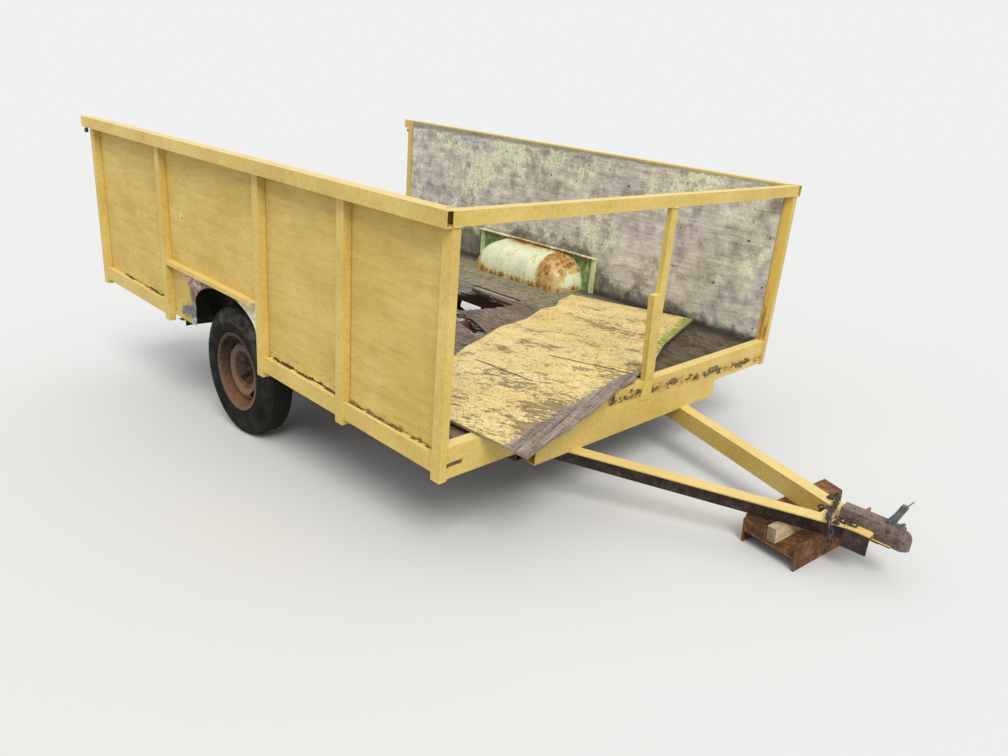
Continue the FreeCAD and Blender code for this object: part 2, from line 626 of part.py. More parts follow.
def leaf_top(offset):
    """Height of the main leaf's top face at a distance along the trailer from the axle."""
    return SPRING_TOP_Z + SPRING_CAMBER * (offset / SPRING_HALF_SPAN) ** 2


def build_leaf_spring():
    """Left leaf spring, hung under the axle: one stepped outline for the leaves, with rolled eyes."""
    y_min = SPRING_Y - SPRING_WIDTH / 2
    half_stations = LEAF_HALF_SPANS + [65.0, 0.0]
    stations = [-offset for offset in half_stations] + half_stations[-2::-1]
    top = [(WHEEL_X + offset, y_min, leaf_top(offset)) for offset in stations]
    under_front = []
    for index, offset in enumerate(half_stations):
        leaves = min(index, len(LEAF_HALF_SPANS))
        if leaves:
            under_front.append((offset, leaf_top(offset) - leaves * LEAF_THICKNESS))
        if index < len(LEAF_HALF_SPANS):
            under_front.append((offset, leaf_top(offset) - (leaves + 1) * LEAF_THICKNESS))
    under_rear = [(-offset, z) for offset, z in reversed(under_front[:-1])]
    under = [(WHEEL_X + offset, y_min, z) for offset, z in under_front + under_rear]
    pack = prism(top + under, (0, SPRING_WIDTH, 0))
    shapes = [pack]
    for side in (-1, 1):
        x_eye = WHEEL_X + side * SPRING_HALF_SPAN
        shapes.append(cylinder((x_eye, y_min, SPRING_EYE_Z), (0, 1, 0), SPRING_EYE_RADIUS, SPRING_WIDTH))
    spring = join(shapes)
    for side in (-1, 1):
        x_eye = WHEEL_X + side * SPRING_HALF_SPAN
        spring = spring.cut(cylinder((x_eye, y_min - 1, SPRING_EYE_Z), (0, 1, 0), 8, SPRING_WIDTH + 2))
    return spring


def build_spring_hangers():
    """Brackets from the left main rail down to the spring's eyes, each pair of plates on its bolt."""
    z_top = CROSS_BOTTOM_Z - SILL_HEIGHT
    hangers = []
    for side in (-1, 1):
        x_eye = WHEEL_X + side * SPRING_HALF_SPAN
        shapes = [cylinder((x_eye, SPRING_Y - 42, SPRING_EYE_Z), (0, 1, 0), 8, 84)]
        for y_min in (SPRING_Y - SPRING_WIDTH / 2 - 6.5, SPRING_Y + SPRING_WIDTH / 2 + 0.5):
            outline = [
                (x_eye - 45, y_min, z_top), (x_eye + 45, y_min, z_top),
                (x_eye + 20, y_min, SPRING_EYE_Z - 22), (x_eye - 20, y_min, SPRING_EYE_Z - 22),
            ]
            shapes.append(prism(outline, (0, 6, 0)))
        hangers.append(join(shapes))
    return hangers


def build_axle_clamps():
    """Left spring clamp: plate under the leaves and two bolts bent over the axle."""
    z_low = SPRING_TOP_Z - len(LEAF_HALF_SPANS) * LEAF_THICKNESS
    plate = box(WHEEL_X - 55, WHEEL_X + 55, SPRING_Y - 48, SPRING_Y + 48, z_low - 10, z_low)
    shapes = [plate]
    radius = 6.0
    for y_side in (-1, 1):
        y = SPRING_Y + y_side * 32
        reach = AXLE_DIAMETER / 2 + radius
        for side in (-1, 1):
            foot = (WHEEL_X + side * reach, y, z_low - 26)
            shapes.append(cylinder(foot, (0, 0, 1), radius, HUB_Z - z_low + 26))
        bend = Part.makeTorus(reach, radius, Vector(WHEEL_X, y, HUB_Z), Vector(0, 1, 0))
        upper_half = box(WHEEL_X - 60, WHEEL_X + 60, y - 10, y + 10, HUB_Z, HUB_Z + 60)
        shapes.append(bend.common(upper_half))
    return join(shapes)


# Tongue

def tongue_inner_y(x):
    """Inner edge of the left tongue member at a distance ahead of the bed."""
    return TONGUE_INNER_Y_AT_BED - TONGUE_SLOPE * x


def tongue_strip(width, z_min, z_max):
    """Slanting strip of the left tongue member, `width` out from its inner edge."""
    x0, x1 = TONGUE_REAR_X, TONGUE_END_X
    outline = [
        (x0, tongue_inner_y(x0), z_min), (x0, tongue_inner_y(x0) + width, z_min),
        (x1, tongue_inner_y(x1) + width, z_min), (x1, tongue_inner_y(x1), z_min),
    ]
    return prism(outline, (0, 0, z_max - z_min))


def build_tongue_member():
    """Left member of the tongue: angle iron, flange on top and leg on the inside."""
    spread = sqrt(1 + TONGUE_SLOPE ** 2)
    top = tongue_strip(TONGUE_FLANGE * spread, TONGUE_TOP_Z - TONGUE_WALL, TONGUE_TOP_Z)
    leg = tongue_strip(TONGUE_WALL * spread, TONGUE_BOTTOM_Z, TONGUE_TOP_Z)
    return join([top, leg])


def build_nose_plate():
    """Folded plate that closes the point of the tongue, with a gusset between the members behind it."""
    z = TONGUE_TOP_Z
    x_back, x_taper, x_end = TONGUE_END_X, TONGUE_END_X + 22, NOSE_END_X
    half_back = tongue_inner_y(x_back) + TONGUE_FLANGE * sqrt(1 + TONGUE_SLOPE ** 2)
    half = NOSE_FRONT_HALF
    top = prism(
        [(x_back, -half_back, z), (x_back, half_back, z), (x_taper, half, z), (x_end, half, z),
         (x_end, -half, z), (x_taper, -half, z)],
        (0, 0, -8),
    )
    shapes = [top]
    for side in (1, -1):
        outline = [
            (x_back, side * half_back, z), (x_taper, side * half, z), (x_end, side * half, z),
            (x_end, side * (half - 8), z), (x_taper, side * (half - 8), z),
            (x_back, side * (half_back - 8), z),
        ]
        shapes.append(prism(outline, (0, 0, -TONGUE_LEG)))
    x_rear = x_back - 110
    gusset = prism(
        [(x_rear, -tongue_inner_y(x_rear), z - 2), (x_rear, tongue_inner_y(x_rear), z - 2),
         (x_back, tongue_inner_y(x_back), z - 2), (x_back, -tongue_inner_y(x_back), z - 2)],
        (0, 0, -8),
    )
    return join(shapes + [gusset])


def build_coupler():
    """Pressed coupler: sleeve on the nose plate and a rounded head with a ball socket."""
    z, radius = TONGUE_TOP_Z, COUPLER_HEAD_RADIUS
    x_neck = BALL_X - 30
    ball_radius = BALL_DIAMETER / 2 + 0.6
    sleeve = box(TONGUE_END_X - 45, x_neck, -30, 30, z, z + 50)
    neck = box(NOSE_END_X, BALL_X, -29, 29, z - 26, z + 46)
    head = cylinder((BALL_X, 0, z - 27), (0, 0, 1), radius, 37)
    reach = radius + 5
    upper_half = box(BALL_X - reach, BALL_X + reach, -reach, reach, z + 10, z + reach + 10)
    crown = Part.makeSphere(radius, Vector(BALL_X, 0, z + 10)).common(upper_half)
    body = join([sleeve, neck, head, crown])
    body = body.cut(Part.makeSphere(ball_radius, Vector(BALL_X, 0, BALL_Z)))
    body = body.cut(cylinder((BALL_X, 0, z - 60), (0, 0, 1), ball_radius, BALL_Z - z + 60))
    for setback in COUPLER_BOLT_SETBACKS:
        body = body.cut(cylinder((x_neck - setback, 0, z + 44), (0, 0, 1), 6.5, 10))
    return body


def build_coupler_latch():
    """Locking lever that stands up behind the coupler's head, with a wire pin through its top."""
    x, z = BALL_X - 70, TONGUE_TOP_Z + 50
    lever = prism(
        [(x, -8, z), (x + 35, -8, z), (x + 50, -8, z + 42), (x + 64, -8, z + 80), (x + 56, -8, z + 90),
         (x + 40, -8, z + 88), (x + 26, -8, z + 50)],
        (0, 16, 0),
    )
    pin = cylinder((x + 52, 0, z + 78), (22, 0, 35), 2.2, 44)
    return join([lever, pin])


def chain_link(centre, direction, roll):
    """One oval link, its long axis along `direction`, turned by `roll` about it."""
    half = LINK_HALF_LENGTH - LINK_RADIUS
    bends = []
    for side in (1, -1):
        ring = Part.makeTorus(LINK_RADIUS, LINK_WIRE, Vector(side * half, 0, 0), Vector(0, 0, 1))
        keep = box(0, 40, -20, 20, -10, 10) if side > 0 else box(-40, 0, -20, 20, -10, 10)
        keep.translate(Vector(side * half, 0, 0))
        bends.append(ring.common(keep))
    bars = [cylinder((-half, y, 0), (1, 0, 0), LINK_WIRE, 2 * half) for y in (LINK_RADIUS, -LINK_RADIUS)]
    link = join(bends + bars)
    turn = Rotation(Vector(1, 0, 0), Vector(*direction)).multiply(Rotation(Vector(1, 0, 0), roll))
    link.Placement = Placement(Vector(*centre), turn)
    return link


def chain_run(route):
    """Links along one route, alternately flat and on edge."""
    pitch = 2 * (LINK_HALF_LENGTH - LINK_WIRE) + 0.6
    points = [Vector(x, y, TONGUE_TOP_Z + height) for x, y, height in route]
    links = []
    travelled, target = 0.0, 0.0
    for start, end in zip(points, points[1:]):
        length = (end - start).Length
        direction = (end - start) * (1 / length)
        while target <= travelled + length:
            centre = start + direction * (target - travelled)
            links.append(chain_link(centre, direction, 90 * (len(links) % 2)))
            target += pitch
        travelled += length
    return links


def build_safety_chain():
    """All runs of the safety chain."""
    return gather([link for route in CHAIN_RUNS for link in chain_run(route)])


# Stand under the tongue, drawn in the settled frame

def settled_point(x, y, z):
    """Bed-frame point after the trailer is tipped onto its stand."""
    tilt = radians(NOSE_DOWN_DEG)
    dx, dz = x - WHEEL_X, z - HUB_Z
    z_settled = TYRE_DIAMETER / 2 + dz * cos(tilt) - dx * sin(tilt)
    return Vector(WHEEL_X + dx * cos(tilt) + dz * sin(tilt), y, z_settled)


STAND_CONTACT = settled_point(STAND_CONTACT_X, tongue_inner_y(STAND_CONTACT_X), TONGUE_BOTTOM_Z)


def turned_with_stand(shape):
    """Turn a shape drawn square to the trailer to the angle at which the stand lies."""
    shape.rotate(Vector(STAND_CONTACT.x, STAND_CONTACT.y, 0), Vector(0, 0, 1), STAND_YAW_DEG)
    return shape


def stand_outline(z_min, z_max):
    """Block as long as the stand's beam, with its ends cut on the slant."""
    x_max = STAND_CONTACT.x + 1
    x_min = STAND_CONTACT.x - STAND_DEPTH - 1
    near_front, near_rear = STAND_ENDS["near"]
    far_front, far_rear = STAND_ENDS["far"]
    outline = [
        (x_max, near_front, z_min), (x_max, far_front, z_min), (x_min, far_rear, z_min),
        (x_min, near_rear, z_min),
    ]
    return prism(outline, (0, 0, z_max - z_min))


def build_stand_beam():
    """Length of wide-flange beam lying on its side across the trailer."""
    x_max, x_min, height = STAND_CONTACT.x, STAND_CONTACT.x - STAND_DEPTH, STAND_CONTACT.z
    front = box(x_max - STAND_FLANGE, x_max, -BED_WIDTH, BED_WIDTH, 0, height)
    rear = box(x_min, x_min + STAND_FLANGE, -BED_WIDTH, BED_WIDTH, 0, height)
    web = box(x_min, x_max, -BED_WIDTH, BED_WIDTH, (height - STAND_WEB) / 2, (height + STAND_WEB) / 2)
    beam = join([front, rear, web]).common(stand_outline(0, height))
    return turned_with_stand(beam)


def stand_packing(offset, width, y_min, y_max):
    """Bar in the trough of the stand's beam, its top cut to the slope of the tongue above it."""
    x_min = STAND_CONTACT.x - STAND_DEPTH + STAND_FLANGE + offset
    z_web, z_over = (STAND_CONTACT.z + STAND_WEB) / 2, 2 * STAND_CONTACT.z
    bar = box(x_min, x_min + width, y_min, y_max, z_web, z_over).common(stand_outline(z_web, z_over))
    bar = turned_with_stand(bar)
    slope = tan(radians(NOSE_DOWN_DEG))
    x_front, x_rear = STAND_CONTACT.x + 2 * STAND_DEPTH, STAND_CONTACT.x - 2 * STAND_DEPTH
    above = [
        (x_front, -BED_WIDTH, STAND_CONTACT.z - slope * 2 * STAND_DEPTH),
        (x_rear, -BED_WIDTH, STAND_CONTACT.z + slope * 2 * STAND_DEPTH),
        (x_rear, -BED_WIDTH, 4 * STAND_CONTACT.z), (x_front, -BED_WIDTH, 4 * STAND_CONTACT.z),
    ]
    return bar.cut(prism(above, (0, 2 * BED_WIDTH, 0)))


def build_stand_plate():
    """Rusty packing bar in the beam's trough."""
    return stand_packing(0, 103, -BED_WIDTH, BED_WIDTH)


def build_stand_wedge():
    """Pale timber packer beside it."""
    return stand_packing(103, 38, -180, 150)


# Assembly

def settle(shape):
    """Tip a finished bed-frame shape onto the stand and set the tyres on the floor."""
    tipped = shape.copy()
    tipped.rotate(Vector(WHEEL_X, 0, HUB_Z), Vector(0, 1, 0), NOSE_DOWN_DEG)
    tipped.translate(Vector(0, 0, TYRE_DIAMETER / 2 - HUB_Z))
    return tipped


def main():
    """Build every piece and write one file for each."""
    os.makedirs("parts", exist_ok=True)
    hangers = build_spring_hangers()
    tipped = {
        "front_sill": build_front_sill(),
        "rear_sill": build_rear_sill(),
        "side_sill_left": build_side_sills(),
        "side_sill_right": mirror_y(build_side_sills()),
        "cross_members": build_cross_members(),
        "main_rail_left": build_main_rail(),
        "main_rail_right": mirror_y(build_main_rail()),
        "front_beam": build_front_beam(),
        "tongue_rear_beam": build_tongue_rear_beam(),
        "posts_left": build_side_posts(LEFT_RAIL_RISE),
        "posts_right": mirror_y(build_side_posts(0)),
        "front_rail": build_front_rail(),
        "side_rail_left": build_side_rail(LEFT_RAIL_RISE),
        "side_rail_right": mirror_y(build_side_rail(0)),
        "corner_packers": build_corner_packer(),
        "front_post": build_front_post(),
        "front_post_splice": build_front_post_splice(),
        "fore_sheet_left": build_fore_sheet(LEFT_RAIL_RISE),
        "fore_sheet_right": mirror_y(build_fore_sheet(0)),
        "aft_sheet_left": build_aft_sheet(LEFT_SHEET_SHORTFALL, LEFT_RAIL_RISE),
        "aft_sheet_right": mirror_y(build_aft_sheet(RIGHT_SHEET_SHORTFALL, 0)),
        "rear_hooks": gather([build_rear_hook(LEFT_RAIL_RISE), mirror_y(build_rear_hook(0))]),
        "bay_ledges": gather([build_bay_ledge(), mirror_y(build_bay_ledge())]),
        "arch_skirt_left": build_arch_skirt(),
        "arch_skirt_right": mirror_y(build_arch_skirt()),
        "wheelhouse_left": build_wheelhouse(),
        "wheelhouse_right": mirror_y(build_wheelhouse()),
        "bay_frame_left": build_bay_frame(),
        "bay_frame_right": mirror_y(build_bay_frame()),
        "floor_boards": build_floor_boards(),
        "loose_panel": build_loose_panel(),
        "axle": build_axle(),
        "hub_left": build_hub(),
        "hub_right": mirror_y(build_hub()),
        "wheel_left": build_wheel(),
        "wheel_right": mirror_y(build_wheel()),
        "lug_nuts_left": build_lug_nuts(),
        "lug_nuts_right": mirror_y(build_lug_nuts()),
        "tyre_left": build_tyre(),
        "tyre_right": mirror_y(build_tyre()),
        "leaf_spring_left": build_leaf_spring(),
        "leaf_spring_right": mirror_y(build_leaf_spring()),
        "spring_hangers": gather(hangers + [mirror_y(shape) for shape in hangers]),
        "axle_clamps": gather([build_axle_clamps(), mirror_y(build_axle_clamps())]),
        "tongue_member_left": build_tongue_member(),
        "tongue_member_right": mirror_y(build_tongue_member()),
        "nose_plate": build_nose_plate(),
        "coupler": build_coupler(),
        "coupler_latch": build_coupler_latch(),
        "safety_chain": build_safety_chain(),
    }
    level = {
        "stand_beam": build_stand_beam(),
        "stand_plate": build_stand_plate(),
        "stand_wedge": build_stand_wedge(),
    }
    shapes = {name: settle(shape) for name, shape in tipped.items()}
    shapes.update(level)
    low = min(shape.BoundBox.XMin for shape in shapes.values())
    high = max(shape.BoundBox.XMax for shape in shapes.values())
    shift = Vector(-(low + high) / 2, 0, 0)
    for name, shape in shapes.items():
        moved = shape.copy()
        moved.translate(shift)
        moved.exportStep("parts/%s.step" % name)


main()
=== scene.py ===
"""Looks of a single-axle utility trailer: its finishes, wear and small fittings, over the built frame.

Sizes are in metres.  Places on the trailer are written in its own bed frame: X forward from the front of
the bed, Y to the left, and Z up, with the axle at 0.3555.  `BedFrame` carries them to the parked,
nose-down place that the built frame has.
"""

import logging
import math
import random
from dataclasses import dataclass
from enum import Enum
from typing import Sequence, Union

import bmesh
import bpy
from mathutils import Matrix, Vector


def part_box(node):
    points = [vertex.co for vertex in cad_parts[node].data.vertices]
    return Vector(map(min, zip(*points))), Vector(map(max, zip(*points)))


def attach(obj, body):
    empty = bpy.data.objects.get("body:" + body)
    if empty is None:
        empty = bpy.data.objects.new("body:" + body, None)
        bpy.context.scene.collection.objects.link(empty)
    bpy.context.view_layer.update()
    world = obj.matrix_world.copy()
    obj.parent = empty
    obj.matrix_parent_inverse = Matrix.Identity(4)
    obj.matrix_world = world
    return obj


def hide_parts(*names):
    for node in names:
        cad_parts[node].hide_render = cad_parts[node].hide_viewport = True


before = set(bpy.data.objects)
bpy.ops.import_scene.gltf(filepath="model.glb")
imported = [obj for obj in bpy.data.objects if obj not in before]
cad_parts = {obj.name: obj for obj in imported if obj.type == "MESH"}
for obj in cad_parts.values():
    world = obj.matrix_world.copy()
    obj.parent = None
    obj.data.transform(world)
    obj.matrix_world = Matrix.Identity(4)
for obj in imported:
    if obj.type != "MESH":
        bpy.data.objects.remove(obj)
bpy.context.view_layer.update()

log = logging.getLogger("trailer")

Colour = tuple[float, float, float]
Socket = bpy.types.NodeSocket
Material = bpy.types.Material
Value = Union[float, Sequence[float], Socket]
Point = tuple[float, float, float]


class Side(Enum):
    """Sides of the trailer, as the sign of Y."""

    LEFT = 1
    RIGHT = -1

    @property
    def word(self) -> str:
        """Side's word in the names of nodes and pieces."""
        return self.name.lower()

    @property
    def sign(self) -> float:
        """Side's sign along Y."""
        return float(self.value)


class Body(Enum):
    """Bodies that the pieces ride on."""

    TRAILER = "trailer"
    WHEEL_LEFT = "wheel_left"
    WHEEL_RIGHT = "wheel_right"

    @staticmethod
    def wheel(side: Side) -> "Body":
        """Body of the wheel on one side."""
        return Body.WHEEL_LEFT if side is Side.LEFT else Body.WHEEL_RIGHT


@dataclass(frozen=True)
class BedFrame:
    """The trailer's own axes, tipped nose-down about the wheel axis."""

    wheel_x: float = -1.745
    hub_z: float = 0.3555
    nose_down: float = math.radians(4.65)

    @property
    def wheel_centre(self) -> Vector:
        """Middle of the axle at rest."""
        low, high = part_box("wheel_left")
        return Vector(((low[0] + high[0]) / 2, 0.0, (low[2] + high[2]) / 2))

    @property
    def to_rest(self) -> Matrix:
        """Matrix from bed-frame places to places at rest."""
        turn = Matrix.Rotation(self.nose_down, 4, "Y")
        back = Matrix.Translation((-self.wheel_x, 0.0, -self.hub_z))
        return Matrix.Translation(self.wheel_centre) @ turn @ back


BED = BedFrame()

CHROME_YELLOW: Colour = (0.64, 0.465, 0.125)
PALE_YELLOW: Colour = (0.7, 0.53, 0.175)
DEEP_YELLOW: Colour = (0.57, 0.395, 0.095)
DARK_RUST: Colour = (0.038, 0.025, 0.018)
BROWN_RUST: Colour = (0.12, 0.066, 0.032)
ORANGE_RUST: Colour = (0.3, 0.16, 0.058)
LICHEN: Colour = (0.8, 0.81, 0.54)


class Pot:
    """A material under construction, with helpers for the few nodes that the finishes share."""

    def __init__(self, name: str) -> None:
        """Start an empty material.

        Args:
            name: The material's name.
        """
        self.material = bpy.data.materials.new(name)
        self.material.use_nodes = True
        self.nodes = self.material.node_tree.nodes
        self.links = self.material.node_tree.links
        self.nodes.clear()

    def add(
        self, kind: str, inputs: dict[Union[int, str], Value], output: Union[int, str] = 0, **settings
    ) -> Socket:
        """Add one node.

        Args:
            kind: Blender's name of the node type.
            inputs: Values or sockets by input name or number.
            output: The output wanted.
            settings: Properties of the node.

        Returns:
            The wanted output socket.
        """
        node = self.nodes.new(kind)
        for key, setting in settings.items():
            setattr(node, key, setting)
        for key, value in inputs.items():
            self.feed(node.inputs[key], value)
        return node.outputs[output]

    def feed(self, target: Socket, value: Value) -> None:
        """Set an input to a number or colour, or link a socket to it.

        Args:
            target: The input.
            value: What it gets.
        """
        if isinstance(value, bpy.types.NodeSocket):
            self.links.new(value, target)
        elif target.type == "RGBA":
            target.default_value = (*value, 1.0)
        else:
            target.default_value = value

    def bed_place(self) -> Socket:
        """Place on the trailer in bed-frame metres.

        Returns:
            The vector socket.
        """
        place = self.add("ShaderNodeTexCoord", {}, "Object")
        centre = BED.wheel_centre
        offset = self.add("ShaderNodeVectorMath", {0: place, 1: tuple(centre)}, operation="SUBTRACT")
        return self.add(
            "ShaderNodeMapping",
            {
                "Vector": offset, "Location": (BED.wheel_x, 0.0, BED.hub_z),
                "Rotation": (0.0, -BED.nose_down, 0.0),
            },
        )

    def wheel_place(self, centre: Vector) -> Socket:
        """Place on a wheel, measured from its middle.

        Args:
            centre: The wheel's middle at rest.

        Returns:
            The vector socket.
        """
        place = self.add("ShaderNodeTexCoord", {}, "Object")
        return self.add("ShaderNodeVectorMath", {0: place, 1: tuple(centre)}, operation="SUBTRACT")

    def facing(self, axis: str) -> Socket:
        """How far the surface faces along one axis, from -1 to 1."""
        normal = self.add("ShaderNodeTexCoord", {}, "Normal")
        return self.part(normal, axis)

    def part(self, vector: Socket, axis: str) -> Socket:
        """One component of a vector."""
        return self.add("ShaderNodeSeparateXYZ", {0: vector}, axis)

    def stretch(self, vector: Socket, scale: Point) -> Socket:
        """Vector multiplied by a scale along each axis."""
        return self.add("ShaderNodeVectorMath", {0: vector, 1: scale}, operation="MULTIPLY")

    def turned(self, vector: Socket, angle: float) -> Socket:
        """Vector turned about Z by an angle in radians."""
        return self.add("ShaderNodeMapping", {"Vector": vector, "Rotation": (0.0, 0.0, angle)})

    def cloud(
        self, vector: Socket, scale: float, detail: float = 4.0, rough: float = 0.55, bend: float = 0.0
    ) -> Socket:
        """Fractal noise from 0 to 1.

        Args:
            vector: Where it is read.
            scale: Features per metre.
            detail: Octaves.
            rough: Strength of the finer octaves.
            bend: Distortion.

        Returns:
            The value socket.
        """
        inputs = {"Vector": vector, "Scale": scale, "Detail": detail, "Roughness": rough, "Distortion": bend}
        return self.add("ShaderNodeTexNoise", inputs)

    def cells(self, vector: Socket, scale: float, edge: bool = False) -> Socket:
        """Distance inside a cell pattern, to the nearest point or, with `edge`, to the nearest border."""
        feature = "DISTANCE_TO_EDGE" if edge else "F1"
        return self.add(
            "ShaderNodeTexVoronoi", {"Vector": vector, "Scale": scale}, "Distance", feature=feature
        )

    def sum(self, a: Value, b: Value) -> Socket:
        """Sum of two values."""
        return self.add("ShaderNodeMath", {0: a, 1: b}, operation="ADD")

    def less(self, a: Value, b: Value) -> Socket:
        """Difference of two values."""
        return self.add("ShaderNodeMath", {0: a, 1: b}, operation="SUBTRACT")

    def times(self, a: Value, b: Value) -> Socket:
        """Product of two values."""
        return self.add("ShaderNodeMath", {0: a, 1: b}, operation="MULTIPLY")

    def most(self, a: Value, b: Value) -> Socket:
        """Larger of two values."""
        return self.add("ShaderNodeMath", {0: a, 1: b}, operation="MAXIMUM")

    def size(self, a: Value) -> Socket:
        """Value without its sign."""
        return self.add("ShaderNodeMath", {0: a}, operation="ABSOLUTE")

    def weigh(self, a: Value, share_a: float, b: Value, share_b: float) -> Socket:
        """Sum of two values, each times its share."""
        return self.sum(self.times(a, share_a), self.times(b, share_b))

    def plus(self, a: Value, b: Value, share: Value) -> Socket:
        """Value with a share of another added."""
        return self.sum(a, self.times(b, share))

    def drift(self, vector: Socket, scale: float, detail: float, rough: float, reach: float) -> Socket:
        """Noise about zero, `reach` from its lowest to its highest."""
        return self.times(self.less(self.cloud(vector, scale, detail, rough), 0.5), reach)

    def streaks(
        self, vector: Socket, scale: Point, detail: float = 4.0, rough: float = 0.55, bend: float = 0.0
    ) -> Socket:
        """Fractal noise with its own number of features per metre along each axis."""
        return self.cloud(self.stretch(vector, scale), 1.0, detail, rough, bend)

    def patches(
        self, vector: Socket, scale: float, detail: float, rough: float, low: float, high: float
    ) -> Socket:
        """Patches of noise: 0 where the noise is under `low`, 1 where it is over `high`."""
        return self.band(self.cloud(vector, scale, detail, rough), low, high)

    def rise(self, value: Socket, low: float, high: float, top: float) -> Socket:
        """Smooth step that is 0 at `low` and `top` at `high`."""
        return self.times(self.band(value, low, high), top)

    def band(self, value: Socket, low: float, high: float) -> Socket:
        """Smooth step that is 0 at `low` and 1 at `high`; `low` may be the larger of the two."""
        inputs = {"Value": value, "From Min": low, "From Max": high}
        return self.add("ShaderNodeMapRange", inputs, "Result", interpolation_type="SMOOTHSTEP")

    def window(self, value: Socket, low: float, high: float, soft: float) -> Socket:
        """Smooth window that is 1 between `low` and `high`, with edges `soft` wide."""
        return self.times(self.band(value, low - soft, low), self.band(value, high + soft, high))

    def near(self, vector: Socket, point: Point, radius: float) -> Socket:
        """Closeness to a point, from 1 at the point to 0 at `radius` from it."""
        away = self.add("ShaderNodeVectorMath", {0: vector, 1: point}, "Value", operation="DISTANCE")
        return self.band(away, radius, 0.0)

    def sum_vector(self, vector: Socket, offset: Point, flat: float = 1.0) -> Socket:
        """Vector moved by an offset, its Y then squashed by `flat`."""
        moved = self.add("ShaderNodeVectorMath", {0: vector, 1: offset}, operation="ADD")
        return self.stretch(moved, (1.0, flat, 1.0))

    def mix(self, factor: Value, a: Value, b: Value) -> Socket:
        """Colour that goes from `a` to `b`."""
        return self.add("ShaderNodeMix", {0: factor, 6: a, 7: b}, 2, data_type="RGBA", clamp_factor=True)

    def coat(self, where: Value, share: Value, colour: Value, over: Value) -> Socket:
        """Colour with `share` of another laid over it where `where` is 1."""
        return self.mix(self.times(where, share), colour, over)

    def shade(self, colour: Value, value: Socket, stops: Sequence[tuple[float, Colour]]) -> Socket:
        """Colour multiplied by a ramp."""
        return self.tint(colour, self.ramp(value, stops))

    def tint(self, colour: Value, by: Value) -> Socket:
        """Colour multiplied by another."""
        inputs = {0: 1.0, 6: colour, 7: by}
        return self.add(
            "ShaderNodeMix", inputs, 2, data_type="RGBA", blend_type="MULTIPLY", clamp_factor=True
        )

    def ramp(self, value: Socket, stops: Sequence[tuple[float, Colour]]) -> Socket:
        """Colour ramp.

        Args:
            value: What drives it.
            stops: Positions and colours, from low to high.

        Returns:
            The colour socket.
        """
        node = self.nodes.new("ShaderNodeValToRGB")
        elements = node.color_ramp.elements
        for index, (position, colour) in enumerate(stops):
            element = elements[index] if index < 2 else elements.new(position)
            element.position = position
            element.color = (*colour, 1.0)
        self.links.new(value, node.inputs[0])
        return node.outputs[0]

    def mottled(
        self, vector: Socket, scale: float, detail: float, rough: float,
        stops: Sequence[tuple[float, Colour]],
    ) -> Socket:
        """Colour ramp driven by noise."""
        return self.ramp(self.cloud(vector, scale, detail, rough), stops)

    def worn_edge(self, reach: float) -> Socket:
        """Closeness to a sharp edge.

        Args:
            reach: How far from the edge it is felt, in metres.

        Returns:
            0 on a flat, and about 1 on the edge itself.
        """
        soft = self.add("ShaderNodeBevel", {"Radius": reach}, samples=4)
        sharp = self.add("ShaderNodeNewGeometry", {}, "Normal")
        dot = self.add("ShaderNodeVectorMath", {0: soft, 1: sharp}, "Value", operation="DOT_PRODUCT")
        return self.band(dot, 0.995, 0.8)

    def finish(
        self, colour: Value, rough: Value, height: Socket = None, depth: float = 0.001, metal: Value = 0.0,
        specular: float = 0.4,
    ) -> Material:
        """Close the material with its surface shader.

        Args:
            colour: Base colour.
            rough: Roughness.
            height: Relief from 0 to 1, or None.
            depth: Depth of the relief in metres.
            metal: Metallic share.
            specular: Strength of the clear reflection.

        Returns:
            The finished material.
        """
        inputs = {
            "Base Color": colour, "Roughness": rough, "Metallic": metal, "Specular IOR Level": specular
        }
        if height is not None:
            inputs["Normal"] = self.add(
                "ShaderNodeBump", {"Height": height, "Strength": 1.0, "Distance": depth}
            )
        surface = self.add("ShaderNodeBsdfPrincipled", inputs)
        output = self.nodes.new("ShaderNodeOutputMaterial")
        self.links.new(surface, output.inputs["Surface"])
        return self.material


def rust_colour(pot: Pot, place: Socket, scale: float = 60.0) -> Socket:
    """Mottled rust, from near black through brown to orange.

    Args:
        pot: The material being made.
        place: Where it is read.
        scale: Features per metre.

    Returns:
        The colour socket.
    """
    stops = [(0.3, DARK_RUST), (0.5, BROWN_RUST), (0.66, ORANGE_RUST), (0.8, (0.46, 0.22, 0.08))]
    return pot.mottled(place, scale, 6.0, 0.65, stops)


